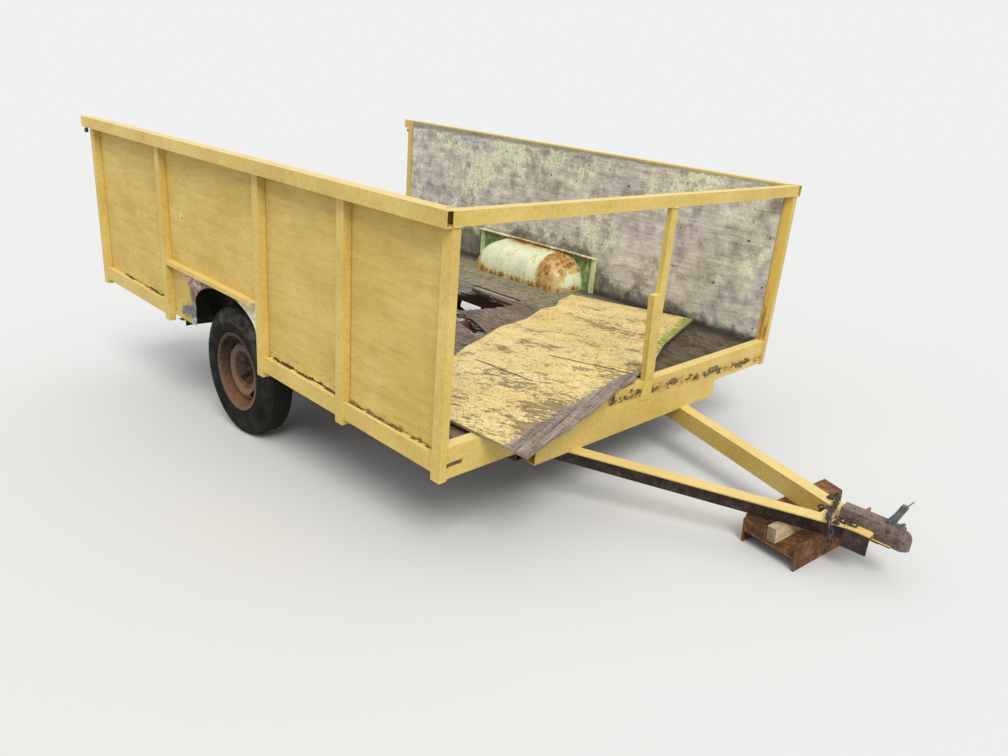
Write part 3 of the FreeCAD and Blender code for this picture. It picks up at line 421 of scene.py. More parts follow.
@dataclass(frozen=True)
class FramePaint:
    """Brushed yellow paint on steel, with rust on edges, in chips and where damp sits, and some painted light
    and shade.
    """

    name: str = "frame_paint"
    wear: float = 0.5
    low_rust: float = 0.5
    seam: bool = False
    dark_outside: bool = False
    corner: bool = False

    def build(self) -> Material:
        """Make the material of the painted steel.

        Returns:
            The finished material.
        """
        pot = Pot(self.name)
        place = pot.bed_place()
        tone = pot.cloud(place, 3.2, 4.0)
        colour = pot.ramp(tone, [(0.3, DEEP_YELLOW), (0.5, CHROME_YELLOW), (0.72, PALE_YELLOW)])
        brushing = pot.cloud(place, 60.0, 6.0, 0.62)
        shades = [(0.32, (0.87, 0.85, 0.8)), (0.52, (1.0, 1.0, 1.0)), (0.7, (1.06, 1.05, 1.04))]
        colour = pot.shade(colour, brushing, shades)
        bleached = pot.band(pot.facing("Z"), 0.35, 0.9)
        colour = pot.coat(bleached, 0.5, colour, (0.8, 0.63, 0.27))
        grime = pot.patches(place, 9.0, 6.0, 0.62, 0.52, 0.8)
        colour = pot.coat(grime, 0.3, colour, (0.36, 0.24, 0.07))
        low = pot.times(pot.band(pot.part(place, "Z"), 0.66, 0.46), self.low_rust * 0.1)
        speck = pot.plus(pot.cloud(place, 42.0, 8.0, 0.68), pot.worn_edge(0.004), 0.14 * self.wear)
        speck = pot.sum(speck, low)
        stain = pot.band(speck, 0.64, 0.75)
        chip = pot.band(speck, 0.71, 0.735)
        colour = pot.coat(stain, 0.6, colour, (0.42, 0.2, 0.05))
        colour = pot.mix(chip, colour, rust_colour(pot, place))
        # Near-black rust with painted shade on the hidden faces of the tongue.
        if self.dark_outside:
            colour = self.outside_rust_and_shade(pot, place, colour)
        # Painted light on the inward faces of the left corner post, with real rust runs down it.
        if self.corner:
            colour = self.corner_light_and_rust(pot, place, colour)
        if self.seam:
            stops = [
                (0.4, (0.045, 0.03, 0.012)), (0.52, (0.125, 0.072, 0.022)), (0.64, (0.34, 0.205, 0.055))
            ]
            dark = pot.mottled(place, 70.0, 6.0, 0.66, stops)
            colour = pot.coat(self.seam_stain(pot, place), 0.85, colour, (0.37, 0.195, 0.04))
            open_seam = pot.most(self.seam_rust(pot, place), self.ledge_rust(pot, place))
            colour = pot.mix(open_seam, colour, dark)
        rough = pot.weigh(chip, 0.35, brushing, 0.25)
        rough = pot.sum(rough, 0.36)
        height = pot.less(pot.times(brushing, 0.35), pot.times(chip, 0.6))
        return pot.finish(colour, rough, height, 0.0014)

    @staticmethod
    def seam_rust(pot: Pot, place: Socket) -> Socket:
        """Rust that eats through along the folded seam of the front sill.

        Args:
            pot: The material being made.
            place: Bed-frame place.

        Returns:
            How far the seam is open, from 0 to 1.
        """
        across, up = pot.part(place, "Y"), pot.part(place, "Z")
        ahead = pot.band(pot.part(place, "X"), -0.06, -0.05)
        wander = pot.drift(place, 10.0, 5.0, 0.66, 0.022)
        line = pot.sum(pot.less(0.59, pot.times(across, 0.04)), wander)
        offset = pot.size(pot.less(up, line))
        left_half = pot.window(across, 0.092, 1.15, 0.004)
        heavy = pot.window(across, -0.2, 0.008, 0.05)
        reach = pot.plus(0.03, heavy, 0.006)
        close = pot.times(pot.most(pot.less(reach, offset), 0.0), 6.0)
        grit = pot.cloud(pot.stretch(place, (1.0, 0.42, 0.85)), 52.0, 5.0, 0.62)
        patches = pot.drift(place, 7.0, 2.0, 0.55, 0.6)
        grit = pot.sum(pot.sum(grit, close), patches)
        flecks = pot.times(pot.band(grit, 0.615, 0.665), pot.band(pot.less(reach, offset), 0.0, 0.006))
        hairline = pot.rise(offset, 0.0026, 0.0012, 0.3)
        seam = pot.times(pot.most(flecks, hairline), pot.most(left_half, heavy))
        slot = pot.times(pot.window(across, -1.17, -1.09, 0.01), pot.window(up, 0.56, 0.572, 0.004))
        return pot.times(pot.most(seam, slot), ahead)

    @staticmethod
    def seam_stain(pot: Pot, place: Socket) -> Socket:
        """Brown stain that spreads from the seam of the front sill.

        Args:
            pot: The material being made.
            place: Bed-frame place.

        Returns:
            Depth of the stain, from 0 to 1.
        """
        across = pot.part(place, "Y")
        line = pot.less(0.59, pot.times(across, 0.04))
        close = pot.band(pot.size(pot.less(pot.part(place, "Z"), line)), 0.036, 0.012)
        patchy = pot.patches(pot.stretch(place, (1.0, 0.4, 1.0)), 40.0, 6.0, 0.68, 0.45, 0.58)
        ahead = pot.band(pot.part(place, "X"), -0.06, -0.05)
        stained = pot.times(close, pot.plus(0.1, patchy, 0.9))
        return pot.times(stained, pot.times(pot.window(across, -0.2, 1.16, 0.02), ahead))

    @staticmethod
    def corner_light_and_rust(pot: Pot, place: Socket, colour: Value) -> Socket:
        """Painted light: brighter, warmer paint on the inward faces of the left corner post, with rust that
        runs down it.

        Args:
            pot: The material being made.
            place: Bed-frame place.
            colour: The painted colour.

        Returns:
            The colour socket.
        """
        inside = pot.band(pot.facing("Y"), -0.5, -0.8)
        inside = pot.times(inside, pot.band(pot.part(place, "Y"), 1.1, 1.13))
        inside = pot.times(inside, pot.band(pot.part(place, "X"), -0.09, -0.07))
        # Painted light: the inward faces are coated a brighter, warmer yellow, as if lit.
        colour = pot.coat(inside, 0.8, colour, (0.74, 0.5, 0.11))
        runs = pot.streaks(place, (45.0, 20.0, 5.0), 6.0, 0.66)
        low = pot.rise(pot.part(place, "Z"), 1.1, 0.66, 0.14)
        rear = pot.rise(pot.part(place, "X"), -0.03, -0.046, 0.06)
        run = pot.band(pot.sum(runs, pot.sum(low, rear)), 0.6, 0.72)
        return pot.coat(inside, pot.times(run, 0.85), colour, (0.36, 0.165, 0.04))

    @staticmethod
    def ledge_rust(pot: Pot, place: Socket) -> Socket:
        """Rust and dirt on the ledge of each side sill, under the sheets.

        Args:
            pot: The material being made.
            place: Bed-frame place.

        Returns:
            How dirty the ledge is, from 0 to 1.
        """
        along, up = pot.part(place, "X"), pot.part(place, "Z")
        ragged = pot.sum(up, pot.drift(place, 30.0, 5.0, 0.65, 0.03))
        side = pot.band(pot.size(pot.part(place, "Y")), 1.15, 1.156)
        top = pot.times(pot.band(ragged, 0.592, 0.598), side)
        behind = pot.band(along, -0.05, -0.08)
        broken = pot.patches(pot.stretch(place, (1.0, 0.3, 0.3)), 8.0, 6.0, 0.64, 0.47, 0.53)
        inner = pot.band(pot.size(pot.part(place, "Y")), 1.172, 1.164)
        return pot.times(pot.times(top, behind), pot.times(broken, inner))

    @staticmethod
    def outside_rust_and_shade(pot: Pot, place: Socket, colour: Value) -> Socket:
        """Near-black rust and painted shade under the flanges of the tongue, on all that faces outward or
        down.

        Args:
            pot: The material being made.
            place: Bed-frame place.
            colour: The painted colour.

        Returns:
            The colour socket.
        """
        across = pot.part(place, "Y")
        side = pot.less(pot.rise(across, -0.004, 0.004, 2.0), 1.0)
        outward = pot.band(pot.times(pot.facing("Y"), side), 0.35, 0.6)
        under = pot.band(pot.facing("Z"), -0.4, -0.7)
        ahead = pot.band(pot.facing("X"), 0.75, 0.9)
        hidden = pot.most(outward, pot.most(under, ahead))
        below = pot.band(pot.part(place, "Z"), 0.4165, 0.4125)
        # Painted shade, partly rust: faces below the flanges that look out, down or forward are coated near
        # black.
        dark = pot.mottled(
            place, 30.0, 6.0, 0.66,
            [(0.38, (0.016, 0.011, 0.01)), (0.56, (0.05, 0.03, 0.022)), (0.72, (0.16, 0.085, 0.04))],
        )
        return pot.coat(hidden, below, colour, dark)


@dataclass(frozen=True)
class SidePlywood:
    """Plywood side sheet: yellow paint outside, bare weathered veneer with lichen inside."""

    side: Side
    post_fronts: tuple[float, ...] = (-0.62, -1.27, -2.29, -3.19)
    knots: tuple[tuple[float, float], ...] = (
        (-1.517, 0.918), (-0.37, 0.887), (-1.688, 1.311), (-0.2, 1.16), (-1.05, 1.33),
    )

    def build(self) -> Material:
        """Make the material of one side's sheets.

        Returns:
            The finished material.
        """
        pot = Pot(f"side_plywood_{self.side.word}")
        place = pot.bed_place()
        outward = pot.times(pot.facing("Y"), self.side.sign)
        painted = pot.band(outward, 0.2, 0.6)
        bare = pot.band(outward, -0.2, -0.6)
        grain = self.grain(pot, place)
        colour = pot.mix(bare, (0.3, 0.25, 0.17), self.veneer(pot, place, grain))
        checks = pot.streaks(place, (14.0, 1.0, 110.0), 4.0, 0.62, 0.4)
        colour = pot.mix(painted, colour, self.paint(pot, place, checks))
        height = pot.mix(painted, grain, pot.times(checks, 0.45))
        rough = pot.plus(0.6, grain, 0.25)
        return pot.finish(colour, rough, height, 0.0022, specular=0.3)

    def paint(self, pot: Pot, place: Socket, checks: Socket) -> Socket:
        """Yellow paint that has checked along the grain and rotted along the sill, with painted shade beside
        the posts.

        Args:
            pot: The material being made.
            place: Bed-frame place.
            checks: Pattern of the fine checks.

        Returns:
            The colour socket.
        """
        tone = pot.cloud(pot.stretch(place, (1.0, 1.0, 1.4)), 2.6, 5.0, 0.6)
        tones = [(0.3, (0.545, 0.385, 0.095)), (0.5, (0.61, 0.44, 0.125)), (0.72, (0.68, 0.515, 0.18))]
        colour = pot.ramp(tone, tones)
        waves = pot.streaks(place, (3.0, 1.0, 26.0), 5.0, 0.6, 0.6)
        colour = pot.shade(colour, waves, [(0.34, (0.93, 0.92, 0.89)), (0.62, (1.05, 1.05, 1.06))])
        pores = pot.streaks(place, (16.0, 1.0, 60.0), 6.0, 0.7, 0.5)
        colour = pot.shade(colour, pores, [(0.34, (0.92, 0.91, 0.88)), (0.56, (1.02, 1.02, 1.02))])
        dirt = pot.patches(place, 7.0, 7.0, 0.64, 0.5, 0.76)
        colour = pot.coat(dirt, 0.3, colour, (0.42, 0.3, 0.11))
        patch = pot.patches(place, 2.2, 2.0, 0.55, 0.38, 0.6)
        crack = pot.times(pot.band(checks, 0.6, 0.68), pot.plus(0.2, patch, 0.55))
        colour = pot.mix(crack, colour, (0.34, 0.25, 0.1))
        up, along = pot.part(place, "Z"), pot.part(place, "X")
        low = pot.band(up, 0.78, 0.6)
        flake = pot.band(pot.plus(pot.cloud(place, 30.0, 7.0, 0.7), low, 0.075), 0.685, 0.705)
        colour = pot.coat(flake, 0.85, colour, (0.19, 0.12, 0.06))
        # Painted shade with some rust: a dark brown line in the corner just ahead of each post.
        for front in self.post_fronts:
            line = pot.window(along, front - 0.01, front + 0.004, 0.006)
            colour = pot.coat(line, 0.55, colour, (0.26, 0.15, 0.035))
        wander = pot.drift(pot.stretch(place, (1.0, 1.0, 0.4)), 24.0, 5.0, 0.62, 0.05)
        edge = pot.band(pot.sum(up, wander), 0.611, 0.604)
        front_bay = pot.times(pot.window(along, -0.585, -0.06, 0.06), 0.65)
        mid_bay = pot.window(along, -1.22, -0.66, 0.04)
        tail_bay = pot.times(pot.window(along, -2.98, -2.33, 0.05), 0.9)
        share = pot.most(front_bay, pot.most(mid_bay, tail_bay))
        broken = pot.band(pot.plus(pot.cloud(place, 15.0, 5.0, 0.62), share, 0.24), 0.54, 0.62)
        colour = pot.coat(edge, pot.times(broken, share), colour, (0.04, 0.026, 0.018))
        return self.chipped(pot, place, colour) if self.side is Side.RIGHT else colour

    @staticmethod
    def chipped(pot: Pot, place: Socket, colour: Value) -> Socket:
        """One torn chip in the paint of the rear sheet, pale round a dark middle.

        Args:
            pot: The material being made.
            place: Bed-frame place.
            colour: The painted colour.

        Returns:
            The colour socket.
        """
        chip = pot.near(pot.sum_vector(place, (2.137, 0.0, -1.096), 0.012), (0.0, 0.0, 0.0), 0.045)
        spread = pot.sum(chip, pot.drift(place, 34.0, 6.0, 0.7, 1.3))
        halo = pot.times(pot.band(spread, 0.1, 0.3), pot.band(chip, 0.02, 0.12))
        colour = pot.coat(halo, 0.6, colour, (0.74, 0.6, 0.27))
        scar = pot.near(pot.sum_vector(place, (2.128, 0.0, -1.088), 0.012), (0.0, 0.0, 0.0), 0.026)
        torn = pot.sum(scar, pot.drift(place, 60.0, 6.0, 0.7, 1.5))
        mark = pot.times(pot.band(torn, 0.3, 0.42), pot.band(scar, 0.02, 0.1))
        return pot.coat(mark, 0.9, colour, (0.24, 0.18, 0.07))

    @staticmethod
    def grain(pot: Pot, place: Socket) -> Socket:
        """Raised grain that runs along the sheet in long waves.

        Args:
            pot: The material being made.
            place: Bed-frame place.

        Returns:
            Height of the grain, from 0 to 1.
        """
        sway = pot.cloud(pot.stretch(place, (1.0, 0.0, 2.2)), 1.3, 3.0)
        height = pot.plus(pot.part(place, "Z"), sway, 0.1)
        parts = {0: pot.part(place, "X"), 1: pot.part(place, "Y"), 2: height}
        bent = pot.add("ShaderNodeCombineXYZ", parts)
        broad = pot.streaks(bent, (1.6, 1.0, 24.0), 6.0, 0.62)
        fine = pot.streaks(bent, (7.0, 1.0, 120.0), 7.0, 0.72)
        return pot.weigh(broad, 0.45, fine, 0.55)

    def veneer(self, pot: Pot, place: Socket, grain: Socket) -> Socket:
        """Grey veneer with lichen, knots, a dark damp band over the floor and painted shade under the top
        rail.

        Args:
            pot: The material being made.
            place: Bed-frame place.
            grain: Pattern of the grain.

        Returns:
            The colour socket.
        """
        greys = [
            (0.34, (0.23, 0.205, 0.185)), (0.44, (0.48, 0.45, 0.41)), (0.54, (0.61, 0.59, 0.545)),
            (0.68, (0.77, 0.75, 0.705)),
        ]
        colour = pot.ramp(grain, greys)
        cool = pot.patches(place, 2.1, 4.0, 0.6, 0.42, 0.62)
        colour = pot.tint(colour, pot.mix(cool, (1.0, 0.99, 0.91), (0.96, 0.915, 0.945)))
        mottle = pot.cloud(place, 12.0, 7.0, 0.68)
        colour = pot.shade(
            colour, mottle,
            [(0.36, (0.62, 0.6, 0.58)), (0.5, (0.96, 0.96, 0.96)), (0.64, (1.12, 1.12, 1.12))],
        )
        along, up = pot.part(place, "X"), pot.part(place, "Z")
        rear = pot.band(along, -1.5, -2.7)
        high = pot.band(up, 1.1, 1.46)
        seam = pot.window(along, -2.46, -2.32, 0.12)
        wide = pot.cloud(place, 2.6, 4.0, 0.6)
        fine = pot.cloud(place, 40.0, 8.0, 0.74)
        growth = pot.sum(pot.times(wide, 0.42), pot.weigh(mottle, 0.26, fine, 0.32))
        push = pot.most(pot.times(rear, 0.75), pot.most(seam, pot.times(high, 0.55)))
        growth = pot.plus(growth, push, 0.06)
        lichen = pot.band(growth, 0.556, 0.59)
        crumbs = pot.cloud(place, 75.0, 6.0, 0.72)
        crust = pot.ramp(crumbs, [(0.36, (0.4, 0.41, 0.26)), (0.48, LICHEN), (0.66, (0.9, 0.9, 0.72))])
        colour = pot.coat(lichen, pot.sum(0.45, pot.rise(crumbs, 0.4, 0.6, 0.5)), colour, crust)
        thin_lichen = pot.band(growth, 0.5, 0.58)
        colour = pot.coat(thin_lichen, 0.25, colour, LICHEN)
        olive = pot.patches(place, 55.0, 8.0, 0.74, 0.55, 0.63)
        colour = pot.coat(olive, pot.plus(0.25, pot.most(rear, high), 0.5), colour, (0.13, 0.13, 0.085))
        for x, z in self.knots:
            knot = pot.near(pot.stretch(place, (1.0, 0.0, 1.4)), (x, 0.0, 1.4 * z), 0.016)
            colour = pot.coat(pot.band(knot, 0.15, 0.5), 0.9, colour, (0.085, 0.055, 0.065))
        limit = pot.sum(0.645, pot.rise(along, -0.3, -0.9, 0.05))
        limit = pot.sum(limit, pot.rise(along, -1.0, -1.38, 0.205))
        limit = pot.less(limit, pot.rise(along, -1.95, -2.15, 0.065))
        ragged = pot.plus(pot.less(up, limit), pot.less(wide, 0.5), 0.22)
        ragged = pot.plus(ragged, pot.less(mottle, 0.5), 0.24)
        damp = pot.band(ragged, 0.05, -0.05)
        damp_stops = [(0.36, (0.045, 0.038, 0.03)), (0.52, (0.14, 0.125, 0.085)), (0.68, (0.3, 0.285, 0.2))]
        damp_tone = pot.mottled(place, 17.0, 7.0, 0.68, damp_stops)
        colour = pot.coat(damp, 0.9, colour, damp_tone)
        foot = pot.band(pot.plus(up, pot.less(fine, 0.5), 0.06), 0.662, 0.63)
        colour = pot.coat(foot, 0.85, colour, (0.05, 0.04, 0.032))
        # Painted shade: a dark band along the top of the sheet, under the top rail.
        top = pot.band(pot.plus(up, pot.less(mottle, 0.5), 0.1), 1.466, 1.484)
        return pot.coat(top, 0.6, colour, (0.13, 0.125, 0.075))


@dataclass(frozen=True)
class FallenPanelPaint:
    """Sun-bleached yellow paint peeling off a broken sheet, with a bare strip along its front edge."""

    lie: float = math.radians(-19.2)
    cracks: tuple[tuple[float, float, float, float], ...] = (
        (-0.48, -0.055, 0.066, 0.022), (-0.75, -0.41, -0.19, -0.315),
    )
    peeled: tuple[tuple[float, float, float], ...] = (
        (-0.635, -0.372, 0.16), (-0.463, -0.417, 0.14), (-0.588, -0.638, 0.15), (-0.397, -0.3, 0.12),
        (-0.632, 0.783, 0.17), (-0.255, 0.628, 0.2), (-0.216, -0.604, 0.16), (-0.23, 0.33, 0.2),
        (-0.7, 0.18, 0.13), (-0.16, -0.82, 0.15), (-0.42, 0.7, 0.16),
    )

    def build(self) -> Material:
        """Make the material of the fallen front panel.

        Returns:
            The finished material.
        """
        pot = Pot("fallen_panel_paint")
        place = pot.bed_place()
        lying = pot.turned(place, self.lie)
        along, across = pot.part(lying, "X"), pot.part(lying, "Y")
        tone = pot.cloud(pot.stretch(lying, (1.4, 3.0, 1.0)), 2.0, 5.0, 0.6)
        tones = [(0.3, (0.7, 0.515, 0.185)), (0.5, (0.8, 0.61, 0.26)), (0.72, (0.88, 0.71, 0.36))]
        colour = pot.ramp(tone, tones)
        streak = pot.streaks(lying, (17.0, 40.0, 1.0), 8.0, 0.74, 0.5)
        crumbs = pot.cloud(lying, 75.0, 5.0, 0.68)
        patch = pot.cloud(pot.stretch(lying, (1.0, 1.6, 1.0)), 5.0, 5.0, 0.62)
        worn = pot.sum(pot.times(streak, 0.52), pot.weigh(patch, 0.32, crumbs, 0.16))
        near_strip = self.strip_distance(pot, along, across)
        worn = pot.sum(worn, pot.rise(near_strip, -0.2, 0.01, 0.045))
        flat_place = pot.stretch(lying, (1.0, 1.0, 0.0))
        for start, end, radius in self.peeled:
            worn = pot.plus(worn, pot.near(flat_place, (start, end, 0.0), radius), 0.043)
        flakes = pot.cells(pot.stretch(lying, (1.0, 1.7, 1.0)), 30.0, True)
        flakes = pot.sum(flakes, pot.drift(lying, 60.0, 5.0, 0.7, 0.55))
        crackle = pot.times(pot.band(flakes, 0.055, 0.01), pot.band(worn, 0.44, 0.51))
        colour = pot.coat(crackle, 0.65, colour, (0.42, 0.29, 0.1))
        peel = pot.band(worn, 0.56, 0.572)
        thin = pot.band(worn, 0.515, 0.565)
        colour = pot.coat(thin, 0.42, colour, (0.52, 0.37, 0.13))
        fibre = pot.streaks(lying, (4.0, 130.0, 1.0), 6.0, 0.7)
        bare_stops = [(0.32, (0.13, 0.085, 0.045)), (0.5, (0.3, 0.215, 0.115)), (0.68, (0.5, 0.4, 0.24))]
        bare = pot.ramp(fibre, bare_stops)
        colour = pot.coat(peel, 0.92, colour, bare)
        strip_fibre = pot.streaks(lying, (95.0, 2.4, 1.0), 7.0, 0.7, 0.3)
        strip_stops = [
            (0.3, (0.11, 0.08, 0.072)), (0.48, (0.26, 0.205, 0.165)), (0.62, (0.39, 0.325, 0.265)),
            (0.76, (0.56, 0.49, 0.42)),
        ]
        strip_tone = pot.ramp(strip_fibre, strip_stops)
        ragged = pot.sum(near_strip, pot.drift(lying, 34.0, 8.0, 0.74, 0.17))
        strip = pot.band(ragged, -0.003, 0.003)
        colour = pot.mix(strip, colour, strip_tone)
        moss_zone = pot.times(pot.band(across, 0.25, 0.45), pot.band(along, -0.15, -0.07))
        moss = pot.band(pot.plus(pot.cloud(place, 28.0, 6.0, 0.66), moss_zone, 0.24), 0.6, 0.68)
        colour = pot.coat(moss, moss_zone, colour, (0.3, 0.32, 0.06))
        split = self.splits(pot, lying, along, across)
        colour = pot.mix(split, colour, (0.1, 0.06, 0.03))
        flat = pot.band(pot.size(pot.facing("Z")), 0.5, 0.8)
        plies = pot.streaks(place, (4.0, 4.0, 420.0), 3.0)
        edge_tone = pot.ramp(plies, [(0.35, (0.12, 0.09, 0.06)), (0.6, (0.42, 0.34, 0.22))])
        colour = pot.mix(flat, edge_tone, colour)
        height = pot.less(pot.times(fibre, 0.3), pot.sum(pot.times(peel, 0.8), split))
        height = pot.sum(height, pot.less(pot.times(patch, 1.6), pot.times(crackle, 0.5)))
        return pot.finish(colour, pot.plus(0.5, peel, 0.35), height, 0.0045, specular=0.3)

    @staticmethod
    def strip_distance(pot: Pot, along: Socket, across: Socket) -> Socket:
        """Distance past the front boundary of the paint.

        Args:
            pot: The material being made.
            along: First component of the place in the panel's own axes.
            across: Second component.

        Returns:
            The distance in metres, positive on the bare strip.
        """
        boundary = pot.plus(-0.085, across, 0.125)
        inside = pot.band(across, 0.1, -0.02)
        return pot.sum(pot.less(along, boundary), pot.sum(pot.times(inside, 0.1), -0.1))

    def splits(self, pot: Pot, lying: Socket, along: Socket, across: Socket) -> Socket:
        """Long splits in the face veneer.

        Args:
            pot: The material being made.
            lying: Place in the panel's own axes.
            along: Its first component.
            across: Its second component.

        Returns:
            1 on a split, 0 beside it.
        """
        wobble = pot.drift(lying, 11.0, 3.0, 0.55, 0.03)
        total: Value = 0.0
        for start, end, start_across, end_across in self.cracks:
            slope = (end_across - start_across) / (end - start)
            line = pot.sum(pot.times(pot.less(along, start), slope), start_across)
            offset = pot.size(pot.sum(pot.less(across, line), wobble))
            split = pot.times(pot.band(offset, 0.0075, 0.0035), pot.window(along, start, end, 0.015))
            total = pot.most(total, split)
        return total


@dataclass(frozen=True)
class FloorPlank:
    """Rotten floor boards: brown and grey along the grain, darkest at the holes, greener by the side."""

    name: str = "floor_plank"
    pitch: float = 0.19083
    joint_line: float = -2.244

    def build(self) -> Material:
        """Make the material of the floor boards.

        Returns:
            The finished material.
        """
        pot = Pot(self.name)
        place = pot.bed_place()
        across = pot.part(place, "Y")
        board = pot.add("ShaderNodeMath", {0: pot.times(across, 1.0 / self.pitch)}, operation="FLOOR")
        aft = pot.band(pot.part(place, "X"), self.joint_line + 0.001, self.joint_line - 0.001)
        key = pot.add("ShaderNodeCombineXYZ", {0: pot.plus(board, aft, 31.0), 1: 0.37, 2: 0.11})
        shade = pot.add("ShaderNodeTexWhiteNoise", {"Vector": key}, "Value", noise_dimensions="3D")
        offset = pot.add(
            "ShaderNodeCombineXYZ", {0: pot.times(shade, 7.0), 1: pot.times(shade, 3.0), 2: 0.0}
        )
        moved = pot.add("ShaderNodeVectorMath", {0: place, 1: offset}, operation="ADD")
        grain = pot.streaks(moved, (2.4, 36.0, 8.0), 8.0, 0.7, 0.8)
        tones = [
            (0.28, (0.06, 0.045, 0.034)), (0.45, (0.16, 0.122, 0.092)), (0.6, (0.245, 0.195, 0.15)),
            (0.76, (0.36, 0.31, 0.25)),
        ]
        colour = pot.ramp(grain, tones)
        plum = pot.patches(place, 4.0, 5.0, 0.62, 0.42, 0.6)
        colour = pot.tint(colour, pot.mix(plum, (1.0, 0.98, 0.88), (1.02, 0.88, 0.9)))
        colour = pot.shade(colour, shade, [(0.0, (0.74, 0.74, 0.74)), (1.0, (1.2, 1.18, 1.14))])
        blotch = pot.cloud(place, 11.0, 7.0, 0.68)
        colour = pot.shade(
            colour, blotch, [(0.36, (0.5, 0.48, 0.45)), (0.52, (1.0, 1.0, 1.0)), (0.66, (1.22, 1.2, 1.16))]
        )
        crumbled = pot.patches(place, 3.6, 3.0, 0.55, 0.44, 0.58)
        shards = pot.streaks(pot.turned(place, 0.6), (30.0, 75.0, 30.0), 7.0, 0.72, 0.6)
        shard_tones = [
            (0.34, (0.03, 0.022, 0.018)), (0.46, (0.15, 0.112, 0.095)), (0.57, (0.25, 0.195, 0.17)),
            (0.66, (0.5, 0.42, 0.36)),
        ]
        colour = pot.coat(crumbled, 0.75, colour, pot.ramp(shards, shard_tones))
        litter = pot.cloud(place, 85.0, 6.0, 0.7)
        colour = pot.coat(pot.band(litter, 0.6, 0.68), 0.7, colour, (0.33, 0.26, 0.2))
        colour = pot.coat(pot.band(litter, 0.42, 0.34), 0.7, colour, (0.035, 0.028, 0.022))
        colour = self.algae(pot, place, colour)
        along = pot.part(place, "X")
        # Painted shade: boards towards the front are darkened and tinted green.
        fore = pot.times(pot.band(along, -0.95, -0.45), pot.band(across, 0.05, 0.35))
        colour = pot.tint(colour, pot.mix(fore, (1.0, 1.0, 1.0), (0.64, 0.68, 0.56)))
        rim_line = pot.times(pot.window(across, 0.563, 0.581, 0.004), pot.window(along, -1.74, -1.34, 0.02))
        colour = pot.mix(rim_line, colour, (0.012, 0.01, 0.008))
        lip_line = pot.times(pot.window(across, 0.536, 0.558, 0.004), pot.window(along, -1.7, -1.36, 0.02))
        colour = pot.coat(lip_line, 0.6, colour, (0.42, 0.4, 0.33))
        flat = pot.band(pot.size(pot.facing("Z")), 0.5, 0.8)
        ends = pot.band(pot.facing("X"), 0.5, 0.8)
        rear_end = pot.times(pot.times(ends, pot.window(along, -1.8, -1.6, 0.02)), 0.8)
        edge_tone = pot.mix(rear_end, (0.05, 0.036, 0.026), (0.34, 0.31, 0.33))
        colour = pot.mix(pot.less(1.0, flat), colour, edge_tone)
        height = pot.weigh(grain, 0.9, litter, 0.6)
        return pot.finish(colour, pot.plus(0.7, grain, 0.25), height, 0.006, specular=0.25)

    @staticmethod
    def algae(pot: Pot, place: Socket, colour: Value) -> Socket:
        """Olive film on the boards beside the wheelhouse and dark damp along the sides.

        Args:
            pot: The material being made.
            place: Bed-frame place.
            colour: Colour of the bare boards.

        Returns:
            The colour socket.
        """
        across, along = pot.part(place, "Y"), pot.part(place, "X")
        ragged = pot.drift(place, 9.0, 6.0, 0.66, 0.4)
        beside = pot.band(pot.sum(across, ragged), 0.52, 0.64)
        length = pot.window(pot.sum(along, ragged), -2.3, -1.12, 0.15)
        film = pot.times(pot.times(beside, length), 0.62)
        film_tone = pot.mottled(
            place, 32.0, 6.0, 0.66, [(0.36, (0.13, 0.12, 0.065)), (0.62, (0.36, 0.345, 0.215))]
        )
        colour = pot.mix(film, colour, film_tone)
        edge = pot.plus(pot.size(across), ragged, 0.4)
        damp = pot.rise(edge, 1.02, 1.12, 0.75)
        return pot.mix(damp, colour, (0.05, 0.045, 0.032))


